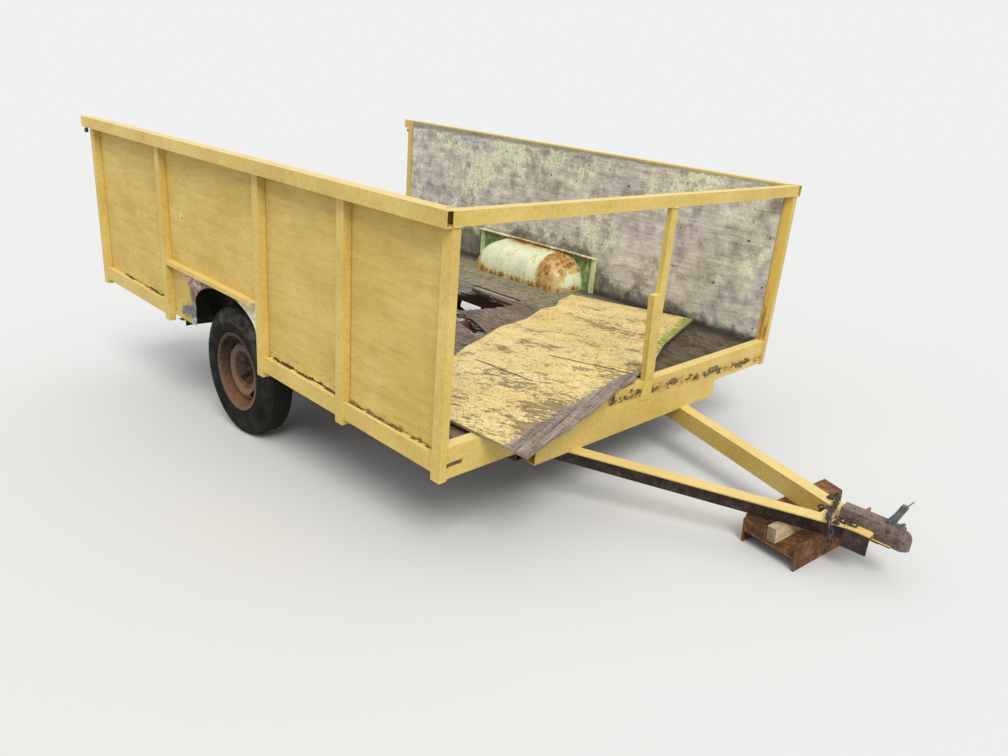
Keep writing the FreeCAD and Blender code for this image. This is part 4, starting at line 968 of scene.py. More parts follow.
@dataclass(frozen=True)
class OldPressing:
    """Second-hand car-body steel: cream over green, rusted at folds, black below: undercoat, painted shade.
    """

    side: Side

    def build(self) -> Material:
        """Make the material of one side's wheelhouse and bay panel.

        Returns:
            The finished material.
        """
        pot = Pot(f"old_pressing_{self.side.word}")
        place = pot.bed_place()
        along, up = pot.part(place, "X"), pot.part(place, "Z")
        inward = pot.times(pot.part(place, "Y"), self.side.sign)
        tone = pot.cloud(place, 7.0, 6.0, 0.62)
        colour = pot.ramp(
            tone, [(0.34, (0.56, 0.61, 0.39)), (0.5, (0.655, 0.695, 0.465)), (0.7, (0.74, 0.77, 0.55))]
        )
        on_panel = pot.band(inward, 1.128, 1.136)
        beyond = pot.band(pot.size(pot.sum(along, 1.7665)), 0.502, 0.508)
        green = pot.mottled(
            place, 30.0, 6.0, 0.66, [(0.35, (0.075, 0.135, 0.05)), (0.65, (0.24, 0.33, 0.13))]
        )
        colour = pot.mix(on_panel, colour, green)
        pale_green = pot.mottled(
            place, 18.0, 6.0, 0.66, [(0.36, (0.4, 0.44, 0.19)), (0.62, (0.74, 0.75, 0.42))]
        )
        colour = pot.coat(on_panel, beyond, colour, pale_green)
        # Painted highlight: paler cream along the ledge at the top of the panel, where its top is lit.
        ledge = pot.band(up, 0.836, 0.841)
        colour = pot.mix(
            ledge, colour, pot.ramp(tone, [(0.4, (0.62, 0.62, 0.38)), (0.6, (0.86, 0.85, 0.63))])
        )
        rust_scale = pot.stretch(place, (1.0, 1.0, 0.55))
        rust_stops = [
            (0.32, (0.085, 0.038, 0.016)), (0.48, (0.3, 0.125, 0.03)), (0.62, (0.52, 0.27, 0.06)),
            (0.76, (0.68, 0.46, 0.17)),
        ]
        rust = pot.mottled(rust_scale, 40.0, 7.0, 0.68, rust_stops)
        colour = self.rusted(pot, place, colour, rust, on_panel)
        # Near black inside the drum's shell, on the panel's outer face and along its foot: undercoat with
        # painted shade of the wheel arch.
        away = pot.add(
            "ShaderNodeVectorMath", {0: place, 1: (-1.745, self.side.value * 1.17, 0.45)},
            operation="SUBTRACT",
        )
        normal = pot.add("ShaderNodeTexCoord", {}, "Normal")
        facing_out = pot.add("ShaderNodeVectorMath", {0: away, 1: normal}, "Value", operation="DOT_PRODUCT")
        cavity = pot.times(pot.band(facing_out, 0.01, -0.01), pot.less(1.0, on_panel))
        outside = pot.times(pot.band(pot.times(pot.facing("Y"), self.side.sign), 0.5, 0.7), on_panel)
        black = pot.mottled(
            place, 22.0, 6.0, 0.66, [(0.4, (0.01, 0.009, 0.008)), (0.62, (0.035, 0.028, 0.022))]
        )
        low = pot.times(pot.band(up, 0.625, 0.6), on_panel)
        colour = pot.mix(pot.most(pot.most(cavity, outside), low), colour, black)
        height = pot.less(pot.times(tone, 0.2), pot.patches(rust_scale, 13.0, 7.0, 0.68, 0.56, 0.6))
        return pot.finish(colour, pot.plus(0.4, on_panel, 0.2), height, 0.0012)

    @staticmethod
    def rusted(pot: Pot, place: Socket, colour: Value, rust: Socket, on_panel: Socket) -> Socket:
        """Rust at the ends, at the foot and along the top of the drum, with stains that run down.

        Args:
            pot: The material being made.
            place: Bed-frame place.
            colour: The painted colour.
            rust: The rust's colour.
            on_panel: 1 on the flat panel, 0 on the drum.

        Returns:
            The colour socket.
        """
        along, up = pot.part(place, "X"), pot.part(place, "Z")
        inward = pot.size(pot.part(place, "Y"))
        drum = pot.less(1.0, on_panel)
        front = pot.times(pot.window(along, -1.52, -1.36, 0.022), pot.band(up, 0.52, 0.58))
        crown = pot.times(pot.band(inward, 1.045, 1.1), pot.window(along, -1.98, -1.36, 0.05))
        back_line = pot.plus(along, up, 0.55)
        back = pot.times(pot.band(back_line, -1.64, -1.7), pot.band(up, 0.8, 0.74))
        foot = pot.band(up, 0.668, 0.628)
        zones = pot.most(
            pot.times(front, 0.9), pot.most(pot.times(crown, 0.85), pot.most(back, pot.times(foot, 0.85)))
        )
        runs = pot.streaks(place, (34.0, 10.0, 4.0), 7.0, 0.68, 0.3)
        blots = pot.cloud(place, 20.0, 8.0, 0.72)
        eaten = pot.plus(pot.weigh(runs, 0.6, blots, 0.4), pot.times(zones, drum), 0.17)
        blush = pot.band(eaten, 0.53, 0.61)
        bite = pot.band(eaten, 0.628, 0.672)
        colour = pot.coat(
            blush, 0.85, colour, pot.mix(pot.band(runs, 0.42, 0.56), (0.42, 0.24, 0.05), (0.62, 0.44, 0.13))
        )
        colour = pot.mix(bite, colour, rust)
        fleck = pot.patches(place, 60.0, 7.0, 0.72, 0.64, 0.67)
        return pot.coat(fleck, 0.8, colour, rust)


@dataclass(frozen=True)
class BaySkirtPaint:
    """Wheel-bay skirt: yellow behind, then rust and scraps of older pink and cream paint by the arch."""

    name: str = "bay_skirt_paint"

    def build(self) -> Material:
        """Make the material of the skirts round the wheel arches.

        Returns:
            The finished material.
        """
        pot = Pot(self.name)
        place = pot.bed_place()
        along, up = pot.part(place, "X"), pot.part(place, "Z")
        ragged = pot.sum(along, pot.drift(place, 22.0, 5.0, 0.65, 0.09))
        ragged = pot.sum(ragged, pot.rise(up, 0.73, 0.77, 0.03))
        yellow = pot.mottled(
            place, 5.0, 4.0, 0.55, [(0.35, (0.52, 0.36, 0.09)), (0.65, (0.63, 0.465, 0.14))]
        )
        rust = pot.mottled(
            place, 36.0, 7.0, 0.68,
            [(0.3, (0.07, 0.04, 0.03)), (0.5, (0.19, 0.12, 0.085)), (0.68, (0.42, 0.33, 0.27))],
        )
        scraps = pot.cloud(pot.stretch(place, (1.0, 1.0, 2.4)), 26.0, 7.0, 0.7)
        pink = pot.ramp(
            scraps, [(0.36, (0.17, 0.075, 0.06)), (0.48, (0.46, 0.24, 0.2)), (0.6, (0.72, 0.6, 0.54))]
        )
        colour = pot.mix(pot.band(ragged, -2.085, -2.065), yellow, rust)
        patch = pot.window(ragged, -2.076, -1.925, 0.012)
        colour = pot.coat(patch, pot.band(up, 0.73, 0.76), colour, pink)
        grey = pot.ramp(scraps, [(0.4, (0.16, 0.14, 0.13)), (0.6, (0.52, 0.5, 0.47))])
        colour = pot.coat(patch, pot.band(up, 0.66, 0.63), colour, grey)
        cream = pot.mottled(place, 25.0, 6.0, 0.66, [(0.35, (0.52, 0.47, 0.29)), (0.6, (0.82, 0.77, 0.56))])
        colour = pot.mix(pot.band(ragged, -1.56, -1.5), colour, cream)
        spots = pot.patches(place, 40.0, 8.0, 0.7, 0.6, 0.65)
        colour = pot.coat(spots, 0.8, colour, rust_colour(pot, place))
        height = pot.cloud(place, 55.0, 6.0, 0.66)
        return pot.finish(colour, 0.62, height, 0.002)


@dataclass(frozen=True)
class RustedSteel:
    """Bare steel, rusted all over, in one of several depths of rust."""

    name: str
    dark: Colour = (0.035, 0.02, 0.014)
    middle: Colour = (0.11, 0.058, 0.034)
    bright: Colour = (0.24, 0.12, 0.055)
    scale: float = 26.0
    depth: float = 0.0015
    rough_level: float = 0.62

    def build(self) -> Material:
        """Make the material of the rusted steel.

        Returns:
            The finished material.
        """
        pot = Pot(self.name)
        place = pot.bed_place()
        broad = pot.cloud(place, self.scale * 0.25, 4.0)
        fine = pot.cloud(place, self.scale * 2.4, 7.0, 0.66)
        tone = pot.weigh(broad, 0.45, fine, 0.55)
        colour = pot.ramp(tone, [(0.36, self.dark), (0.5, self.middle), (0.64, self.bright)])
        rubbed = pot.times(pot.worn_edge(0.003), 0.5)
        colour = pot.mix(rubbed, colour, tuple(1.5 * part + 0.03 for part in self.bright))
        rough = pot.plus(self.rough_level, fine, 0.25)
        return pot.finish(colour, rough, fine, self.depth)


@dataclass(frozen=True)
class WheelRust:
    """Wheel disc and rim: thin brown paint going to red rust, rim worn brighter, painted highlight and shade.
    """

    side: Side

    def build(self) -> Material:
        """Make the material of one wheel.

        Returns:
            The finished material.
        """
        pot = Pot(f"wheel_rust_{self.side.word}")
        low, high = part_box(f"wheel_{self.side.word}")
        place = pot.wheel_place((Vector(low) + Vector(high)) / 2)
        flat = pot.stretch(place, (1.0, 0.0, 1.0))
        radius = pot.add("ShaderNodeVectorMath", {0: flat}, "Value", operation="LENGTH")
        fine = pot.cloud(place, 70.0, 7.0, 0.68)
        broad = pot.cloud(place, 9.0, 4.0)
        tone = pot.weigh(broad, 0.45, fine, 0.55)
        colour = pot.ramp(
            tone, [(0.38, (0.018, 0.01, 0.006)), (0.5, (0.066, 0.036, 0.02)), (0.62, (0.17, 0.1, 0.058))]
        )
        fall = pot.band(pot.part(place, "Z"), 0.02, -0.17)
        colour = pot.coat(fall, 0.5, colour, (0.24, 0.095, 0.055))
        # Painted highlight on the raised ring of the disc.
        ring = pot.window(radius, 0.106, 0.134, 0.01)
        colour = pot.coat(ring, 0.45, colour, (0.25, 0.165, 0.105))
        # Painted shade in the recessed well between the ring and the rim, deepest at the top.
        well_shade = pot.window(radius, 0.148, 0.172, 0.008)
        shade = pot.sum(0.25, pot.rise(pot.part(place, "Z"), -0.06, 0.1, 0.55))
        colour = pot.coat(well_shade, shade, colour, (0.018, 0.012, 0.009))
        rolled = pot.window(radius, 0.19, 0.205, 0.006)
        colour = pot.coat(rolled, 0.35, colour, (0.2, 0.145, 0.1))
        # Painted shade over the upper part of the disc, as if under the arch and tyre.
        shaded = pot.times(pot.band(pot.part(place, "Z"), -0.02, 0.13), pot.band(radius, 0.12, 0.15))
        colour = pot.coat(shaded, 0.55, colour, (0.02, 0.014, 0.01))
        # Painted shade in the middle of the disc round the hub.
        middle = pot.band(radius, 0.088, 0.066)
        colour = pot.coat(middle, 0.8, colour, (0.026, 0.02, 0.017))
        rubbed = pot.times(pot.worn_edge(0.004), 0.45)
        colour = pot.mix(rubbed, colour, (0.26, 0.17, 0.11))
        return pot.finish(colour, pot.plus(0.6, fine, 0.3), fine, 0.0016, specular=0.2)


@dataclass(frozen=True)
class TyreRubber:
    """Old tyre: faded black rubber, dusty on its sidewalls and tread, and crazed with age."""

    side: Side

    def build(self) -> Material:
        """Make the material of one tyre.

        Returns:
            The finished material.
        """
        pot = Pot(f"tyre_rubber_{self.side.word}")
        low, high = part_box(f"wheel_{self.side.word}")
        place = pot.wheel_place((Vector(low) + Vector(high)) / 2)
        flat = pot.stretch(place, (1.0, 0.0, 1.0))
        radius = pot.add("ShaderNodeVectorMath", {0: flat}, "Value", operation="LENGTH")
        broad = pot.cloud(place, 8.0, 5.0, 0.6)
        fine = pot.cloud(place, 120.0, 6.0, 0.7)
        colour = pot.ramp(
            broad,
            [(0.34, (0.005, 0.0055, 0.0055)), (0.52, (0.011, 0.0115, 0.011)), (0.68, (0.026, 0.025, 0.022))],
        )
        dusty = pot.times(
            pot.window(radius, 0.272, 0.326, 0.02), pot.patches(place, 14.0, 6.0, 0.62, 0.38, 0.62)
        )
        upper = pot.sum(0.12, pot.rise(pot.part(place, "Z"), 0.05, 0.28, 0.62))
        colour = pot.coat(dusty, upper, colour, (0.105, 0.098, 0.08))
        tread = pot.band(radius, 0.33, 0.338)
        colour = pot.coat(tread, 0.35, colour, (0.05, 0.048, 0.04))
        soil = pot.band(pot.plus(fine, broad, 0.3), 0.72, 0.82)
        colour = pot.coat(soil, 0.4, colour, (0.095, 0.082, 0.055))
        crazing = pot.band(pot.cells(pot.stretch(place, (1.0, 1.6, 1.0)), 110.0, edge=True), 0.05, 0.0)
        height = pot.less(pot.times(fine, 0.5), pot.times(crazing, 0.5))
        return pot.finish(colour, pot.plus(0.66, fine, 0.2), height, 0.0006, specular=0.12)


@dataclass(frozen=True)
class PackingTimber:
    """Pale sawn timber, split and stained at its ends."""

    name: str = "packing_timber"
    light: Colour = (0.8, 0.64, 0.43)
    dark: Colour = (0.44, 0.33, 0.2)

    def build(self) -> Material:
        """Make the material of the timber packer.

        Returns:
            The finished material.
        """
        pot = Pot(self.name)
        place = pot.add("ShaderNodeTexCoord", {}, "Object")
        grain = pot.streaks(place, (90.0, 3.0, 60.0), 6.0, 0.62, 0.4)
        middle = tuple(0.5 * (light + dark) for light, dark in zip(self.light, self.dark))
        colour = pot.ramp(grain, [(0.28, self.dark), (0.5, middle), (0.66, self.light)])
        stain = pot.patches(place, 18.0, 5.0, 0.55, 0.52, 0.72)
        colour = pot.coat(stain, 0.45, colour, (0.2, 0.15, 0.1))
        end = pot.band(pot.size(pot.facing("Y")), 0.6, 0.9)
        colour = pot.coat(end, 0.7, colour, (0.13, 0.095, 0.06))
        return pot.finish(colour, 0.75, grain, 0.002, specular=0.25)


class Finishes:
    """Every material of the trailer, built once and shared by name."""

    def __init__(self) -> None:
        """Build all the materials."""
        self.frame_paint = FramePaint(corner=True).build()
        self.sill_paint = FramePaint("sill_paint", wear=0.9, low_rust=0.45, seam=True).build()
        self.tongue_paint = FramePaint("tongue_paint", wear=0.7, low_rust=0.05, dark_outside=True).build()
        self.plywood = {side: SidePlywood(side).build() for side in Side}
        self.fallen_panel = FallenPanelPaint().build()
        self.planks = FloorPlank().build()
        self.pressing = {side: OldPressing(side).build() for side in Side}
        self.skirt = BaySkirtPaint().build()
        self.under_steel = RustedSteel("under_steel").build()
        self.coupler = RustedSteel(
            "coupler_rust", (0.06, 0.04, 0.036), (0.16, 0.115, 0.098), (0.28, 0.215, 0.175), 34.0, 0.001, 0.5
        ).build()
        self.latch = RustedSteel(
            "latch_steel", (0.045, 0.05, 0.05), (0.125, 0.135, 0.13), (0.26, 0.28, 0.27), 60.0, 0.0006, 0.4
        ).build()
        self.chain = RustedSteel(
            "chain_steel", (0.02, 0.016, 0.013), (0.06, 0.045, 0.034), (0.14, 0.1, 0.07), 90.0, 0.0005, 0.5
        ).build()
        self.stand = RustedSteel(
            "stand_rust", (0.03, 0.013, 0.006), (0.125, 0.052, 0.019), (0.36, 0.165, 0.05), 14.0, 0.003, 0.68
        ).build()
        self.timber = PackingTimber().build()
        self.splinter = PackingTimber("splintered_wood", (0.48, 0.41, 0.29), (0.16, 0.12, 0.085)).build()
        self.wheel = {side: WheelRust(side).build() for side in Side}
        self.tyre = {side: TyreRubber(side).build() for side in Side}


class Form:
    """A mesh under construction."""

    def __init__(self) -> None:
        """Start an empty mesh."""
        self.mesh = bmesh.new()

    def turned_ring(
        self, centre: Point, axis: Point, profile: Sequence[tuple[float, float]], segments: int,
        start: float = 0.0,
    ) -> None:
        """Sweep a profile round an axis.

        Args:
            centre: Zero of the profile's offsets.
            axis: Direction of the axis.
            profile: Offsets along the axis and radii, in order; a radius of 0 closes the end.
            segments: Steps round the axis.
            start: Angle of the first step in radians.
        """
        middle, direction = Vector(centre), Vector(axis).normalized()
        first = direction.orthogonal().normalized()
        second = direction.cross(first)
        rows = []
        for offset, radius in profile:
            if radius == 0.0:
                rows.append([self.mesh.verts.new(middle + direction * offset)])
                continue
            row = []
            for index in range(segments):
                angle = start + 2 * math.pi * index / segments
                spoke = first * math.cos(angle) + second * math.sin(angle)
                row.append(self.mesh.verts.new(middle + direction * offset + spoke * radius))
            rows.append(row)
        for below, above in zip(rows, rows[1:]):
            for index in range(segments):
                after = (index + 1) % segments
                lower = [below[index % len(below)], below[after % len(below)]]
                upper = [above[after % len(above)], above[index % len(above)]]
                unique = list(dict.fromkeys(lower + upper))
                if len(unique) > 2:
                    self.mesh.faces.new(unique)

    def hex_head(self, centre: Point, axis: Point, across: float, height: float, turn: float = 0.0) -> None:
        """Hexagon nut or bolt head with a chamfered top and a washer under it.

        Args:
            centre: Middle of its foot.
            axis: Direction that it stands in.
            across: Width across the flats.
            height: Height of the head.
            turn: Angle of the flats in radians.
        """
        radius = across / math.sqrt(3)
        rim, top = radius * 1.35, height * 0.22
        washer = [(0.0, 0.0), (0.0, rim), (top, rim), (top, radius * 0.9)]
        self.turned_ring(centre, axis, washer, 20)
        body = [(height * 0.2, radius), (height * 0.92, radius), (height, radius * 0.86), (height, 0.0)]
        self.turned_ring(centre, axis, body, 6, turn)

    def stud(self, centre: Point, axis: Point, radius: float, length: float) -> None:
        """Threaded end that stands out of a nut."""
        profile = [(length * step / 8, radius * (1.0 if step % 2 else 0.88)) for step in range(9)]
        self.turned_ring(centre, axis, profile + [(length, 0.0)], 12)

    def dome(self, centre: Point, axis: Point, radius: float, height: float) -> None:
        """Round-headed screw or carriage bolt."""
        shape = ((0.0, 1.0), (0.45, 0.93), (0.8, 0.65), (1.0, 0.25), (1.0, 0.0))
        self.turned_ring(centre, axis, [(height * rise, radius * width) for rise, width in shape], 14)

    def weld(self, start: Point, end: Point, radius: float, chance: random.Random) -> None:
        """Uneven weld bead laid from one point to another.

        Args:
            start: Where the bead begins.
            end: Where it ends.
            radius: Radius of the bead.
            chance: Source of the unevenness.
        """
        first, last = Vector(start), Vector(end)
        length = (last - first).length
        steps = max(6, int(length / (radius * 0.55)))
        profile = [(0.0, 0.0)]
        for step in range(1, steps):
            swell = 0.78 + 0.22 * abs(math.sin(step * 1.45)) + chance.uniform(-0.06, 0.06)
            profile.append((length * step / steps, radius * swell))
        profile.append((length, 0.0))
        self.turned_ring(tuple(first), tuple(last - first), profile, 8)

    def slab(self, outline: Sequence[Point], offset: Point) -> None:
        """Flat plate: an outline and its copy moved by an offset.

        Args:
            outline: Corners of one face.
            offset: From that face to the other.
        """
        low = [self.mesh.verts.new(Vector(point)) for point in outline]
        high = [self.mesh.verts.new(Vector(point) + Vector(offset)) for point in outline]
        self.mesh.faces.new(low[::-1])
        self.mesh.faces.new(high)
        for index in range(len(low)):
            after = (index + 1) % len(low)
            self.mesh.faces.new([low[index], low[after], high[after], high[index]])

    def strap(self, path: Sequence[Point], width: Point, thickness: Point) -> None:
        """Band of one width and thickness that follows a path.

        Args:
            path: Points along the middle of the band's underside.
            width: Half width, as a vector.
            thickness: Thickness, as a vector; a path point may carry its own as a fourth to sixth number.
        """
        half = Vector(width)
        rows = []
        for point in path:
            middle = Vector(point[:3])
            rise = Vector(point[3:6]) if len(point) == 6 else Vector(thickness)
            rows.append((middle - half, middle + half, middle + half + rise, middle - half + rise))
        self.bar(rows)

    def sliver(
        self, start: Point, end: Point, width: float, thickness: float, chance: random.Random
    ) -> None:
        """Splinter of wood that thins to a ragged point.

        Args:
            start: Middle of the thick end.
            end: The point.
            width: Width of the thick end.
            thickness: Thickness of the thick end.
            chance: Source of the raggedness.
        """
        first, last = Vector(start), Vector(end)
        along = (last - first).normalized()
        side = along.cross(Vector((0.0, 0.0, 1.0))).normalized()
        if side.length < 0.5:
            side = Vector((1.0, 0.0, 0.0))
        rise = side.cross(along)
        rows = []
        for share in (0.0, 0.35, 0.7, 1.0):
            middle = first.lerp(last, share) + side * chance.uniform(-0.2, 0.2) * width
            half = side * width * 0.5 * (1.0 - 0.88 * share)
            up = rise * thickness * 0.5 * (1.0 - 0.8 * share)
            rows.append((middle - half - up, middle + half - up, middle + half + up, middle - half + up))
        self.bar(rows)

    def bar(self, rows: Sequence[Sequence[Vector]]) -> None:
        """Closed bar through rows of four corners each.

        Args:
            rows: The corners, from one end to the other.
        """
        made = [[self.mesh.verts.new(corner) for corner in row] for row in rows]
        for below, above in zip(made, made[1:]):
            for index in range(4):
                after = (index + 1) % 4
                self.mesh.faces.new([below[index], below[after], above[after], above[index]])
        self.mesh.faces.new(made[0][::-1])
        self.mesh.faces.new(made[-1])

    def done(
        self, name: str, finish: Material, body: Body = Body.TRAILER, matrix: Matrix = None,
        smooth: float = 40.0,
    ) -> bpy.types.Object:
        """Close the mesh and put it on its body.

        Args:
            name: Name of the piece.
            finish: Its material.
            body: The body that it rides on.
            matrix: From the mesh's frame to places at rest; the bed frame's by default.
            smooth: Sharpest angle in degrees that is shaded smooth.

        Returns:
            The piece.
        """
        self.mesh.transform(BED.to_rest if matrix is None else matrix)
        bmesh.ops.recalc_face_normals(self.mesh, faces=self.mesh.faces)
        for face in self.mesh.faces:
            face.smooth = True
        data = bpy.data.meshes.new(name)
        self.mesh.to_mesh(data)
        self.mesh.free()
        data.set_sharp_from_angle(angle=math.radians(smooth))
        data.materials.append(finish)
        piece = bpy.data.objects.new(name, data)
        bpy.context.scene.collection.objects.link(piece)
        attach(piece, body.value)
        log.info("built %s with %d faces", name, len(data.polygons))
        return piece


def dress(finish: Material, *nodes: str) -> None:
    """Give built nodes one material.

    Args:
        finish: The material.
        nodes: Names of the nodes.
    """
    for node in nodes:
        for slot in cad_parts[node].material_slots:
            slot.material = finish
        log.info("dressed %s", node)


@dataclass
class Studio:
    """Pale floor, soft plain light and the camera."""

    camera_place: Point = (1.9063, -2.8853, 1.89616)
    yaw: float = 2.336
    pitch: float = -0.3625
    roll: float = 0.084552
    focal_pixels: float = 793.28
    image_width: int = 1008
    floor_size: float = 60.0
    sky_level: float = 0.84
    sun_level: float = 2.3

    def build(self) -> None:
        """Build the floor, the world, the lamps and the camera."""
        self.build_floor()
        self.build_world()
        self.build_lamps()
        self.build_camera()

    def build_floor(self) -> None:
        """Floor that shows pale to the camera and keeps the shadow."""
        pot = Pot("studio_floor")
        path = pot.add("ShaderNodeLightPath", {}, "Is Camera Ray")
        colour = pot.mix(path, (0.5, 0.5, 0.48), (0.65, 0.65, 0.645))
        floor_finish = pot.finish(colour, 0.9, specular=0.1)
        half = self.floor_size / 2
        data = bpy.data.meshes.new("floor")
        corners = [(-half, -half, 0.0), (half, -half, 0.0), (half, half, 0.0), (-half, half, 0.0)]
        data.from_pydata(corners, [], [(0, 1, 2, 3)])
        data.materials.append(floor_finish)
        floor = bpy.data.objects.new("floor", data)
        bpy.context.scene.collection.objects.link(floor)

    def build_world(self) -> None:
        """World that lights softly and shows pale behind the floor."""
        world = bpy.data.worlds.new("studio_world")
        bpy.context.scene.world = world
        world.use_nodes = True
        tree = world.node_tree
        tree.nodes.clear()
        path = tree.nodes.new("ShaderNodeLightPath")
        seen = tree.nodes.new("ShaderNodeMath")
        seen.operation = "MAXIMUM"
        tree.links.new(path.outputs["Is Camera Ray"], seen.inputs[0])
        tree.links.new(path.outputs["Is Transmission Ray"], seen.inputs[1])
        shown = tree.nodes.new("ShaderNodeMath")
        shown.operation = "MAXIMUM"
        tree.links.new(seen.outputs[0], shown.inputs[0])
        tree.links.new(path.outputs["Is Glossy Ray"], shown.inputs[1])
        light = tree.nodes.new("ShaderNodeBackground")
        light.inputs["Color"].default_value = (0.96, 0.98, 1.0, 1.0)
        light.inputs["Strength"].default_value = self.sky_level
        backdrop = tree.nodes.new("ShaderNodeBackground")
        backdrop.inputs["Color"].default_value = (0.87, 0.875, 0.875, 1.0)
        backdrop.inputs["Strength"].default_value = 1.0
        either = tree.nodes.new("ShaderNodeMixShader")
        tree.links.new(shown.outputs[0], either.inputs[0])
        tree.links.new(light.outputs[0], either.inputs[1])
        tree.links.new(backdrop.outputs[0], either.inputs[2])
        output = tree.nodes.new("ShaderNodeOutputWorld")
        tree.links.new(either.outputs[0], output.inputs["Surface"])

    def build_lamps(self) -> None:
        """One broad soft key from the front right, high up."""
        key = bpy.data.lights.new("key", "SUN")
        key.energy = self.sun_level
        key.angle = math.radians(28.0)
        key.color = (1.0, 0.975, 0.93)
        lamp = bpy.data.objects.new("key", key)
        lamp.rotation_euler = Vector((0.6, -0.36, 0.72)).to_track_quat("Z", "Y").to_euler()
        bpy.context.scene.collection.objects.link(lamp)

    def build_camera(self) -> None:
        """Camera that stands where the trailer's bed was seen from."""
        yaw, pitch, roll = self.yaw, self.pitch, self.roll
        ahead = Vector((math.cos(pitch) * math.cos(yaw), math.cos(pitch) * math.sin(yaw), math.sin(pitch)))
        level = Vector((math.sin(yaw), -math.cos(yaw), 0.0))
        above = level.cross(ahead)
        right = level * math.cos(roll) + above * math.sin(roll)
        up = above * math.cos(roll) - level * math.sin(roll)
        rows = [(right[i], up[i], -ahead[i], self.camera_place[i]) for i in range(3)]
        data = bpy.data.cameras.new("camera")
        data.sensor_fit = "HORIZONTAL"
        data.sensor_width = 36.0
        data.lens = 36.0 * self.focal_pixels / self.image_width
        data.clip_end = 200.0
        camera = bpy.data.objects.new("camera", data)
        camera.matrix_world = BED.to_rest @ Matrix((*rows, (0.0, 0.0, 0.0, 1.0)))
        bpy.context.scene.collection.objects.link(camera)
        bpy.context.scene.camera = camera


@dataclass
class BedFrameSteel:
    """Painted frame of the bed with its welds."""

    finishes: Finishes
    half_width: float = 1.193
    post_inner_y: float = 1.157
    post_size: float = 0.05
    post_fronts: tuple[float, ...] = (0.0, -0.62, -1.27, -2.29, -3.19)
    rail_bottom: float = 1.428
    left_rail_slope: float = 0.032 / 3.24
    sill_low: float = 0.525
    sill_high: float = 0.6
    front_sill_low: float = 0.512
    front_sill_high: float = 0.636
    front_rail_low: float = 1.431
    front_post_span: tuple[float, float] = (0.05, 0.089)
    face: float = 0.001
    bead: float = 0.0042

    def build(self) -> None:
        """Dress the frame and lay its welds."""
        dress(
            self.finishes.frame_paint, "posts_left", "posts_right", "front_rail", "side_rail_left",
            "side_rail_right", "corner_packers", "front_post", "front_post_splice", "bay_ledges",
            "rear_sill",
        )
        dress(self.finishes.sill_paint, "front_sill", "side_sill_left", "side_sill_right", "front_beam")
        dress(self.finishes.under_steel, "cross_members", "main_rail_left", "main_rail_right", "rear_hooks")
        self.build_side_welds()
        self.build_front_welds()

    def build_side_welds(self) -> None:
        """Beads where the posts meet the top rails and the side sills."""
        chance = random.Random(11)
        form = Form()
        for side in Side:
            sign = side.value
            for index, front in enumerate(self.post_fronts):
                lift = -front * self.left_rail_slope if side is Side.LEFT else 0.0
                z = self.rail_bottom + lift - self.face
                y = sign * self.half_width
                form.weld((front - 0.002, y, z), (front - self.post_size + 0.002, y, z), self.bead, chance)
                y_sill = sign * (self.half_width - 0.008)
                sides_of_post = []
                if index not in (0, 3):
                    sides_of_post.append(front + self.face)
                if index not in (2, 4):
                    sides_of_post.append(front - self.post_size - self.face)
                for x in sides_of_post:
                    form.weld((x, y_sill, self.sill_low), (x, y_sill, self.sill_high), self.bead, chance)
        form.done("side_welds", self.finishes.frame_paint)

    def build_front_welds(self) -> None:
        """Beads at the ends of the front sill and under the front rail."""
        chance = random.Random(12)
        form = Form()
        for side in Side:
            y = side.value * self.post_inner_y
            y_out = side.value * self.half_width
            form.weld(
                (self.face, y, self.front_sill_low), (self.face, y, self.front_sill_high), self.bead, chance
            )
            form.weld(
                (self.face, y, self.front_rail_low), (self.face, y_out, self.front_rail_low), self.bead,
                chance,
            )
        z = self.front_rail_low - self.face
        start, end = ((self.face, y, z) for y in self.front_post_span)
        form.weld(start, end, self.bead, chance)
        form.done("front_welds", self.finishes.sill_paint)


@dataclass
class SideWalls:
    """Plywood sides with the screws that hold them to the posts."""

    finishes: Finishes
    sheet_inner_y: float = 1.145
    post_middles: tuple[float, ...] = (-0.075, -0.645, -1.205, -2.345, -2.425, -2.46, -3.12)
    heights: tuple[float, ...] = (0.68, 0.93, 1.18, 1.42)

    def build(self) -> None:
        """Dress the sheets and set their screws."""
        for side in Side:
            dress(self.finishes.plywood[side], f"fore_sheet_{side.word}", f"aft_sheet_{side.word}")
            self.build_screws(side)

    def build_screws(self, side: Side) -> None:
        """Rusty screw heads on the inside, in uneven rows.

        Args:
            side: The side that they are on.
        """
        chance = random.Random(20 + side.value)
        form = Form()
        y = side.value * (self.sheet_inner_y + 0.0005)
        for middle in self.post_middles:
            for height in self.heights:
                x = middle + chance.uniform(-0.008, 0.008)
                z = height + chance.uniform(-0.03, 0.03)
                form.dome((x, y, z), (0.0, -side.value, 0.0), 0.0055, 0.0028)
        form.done(f"sheet_screws_{side.word}", self.finishes.under_steel)


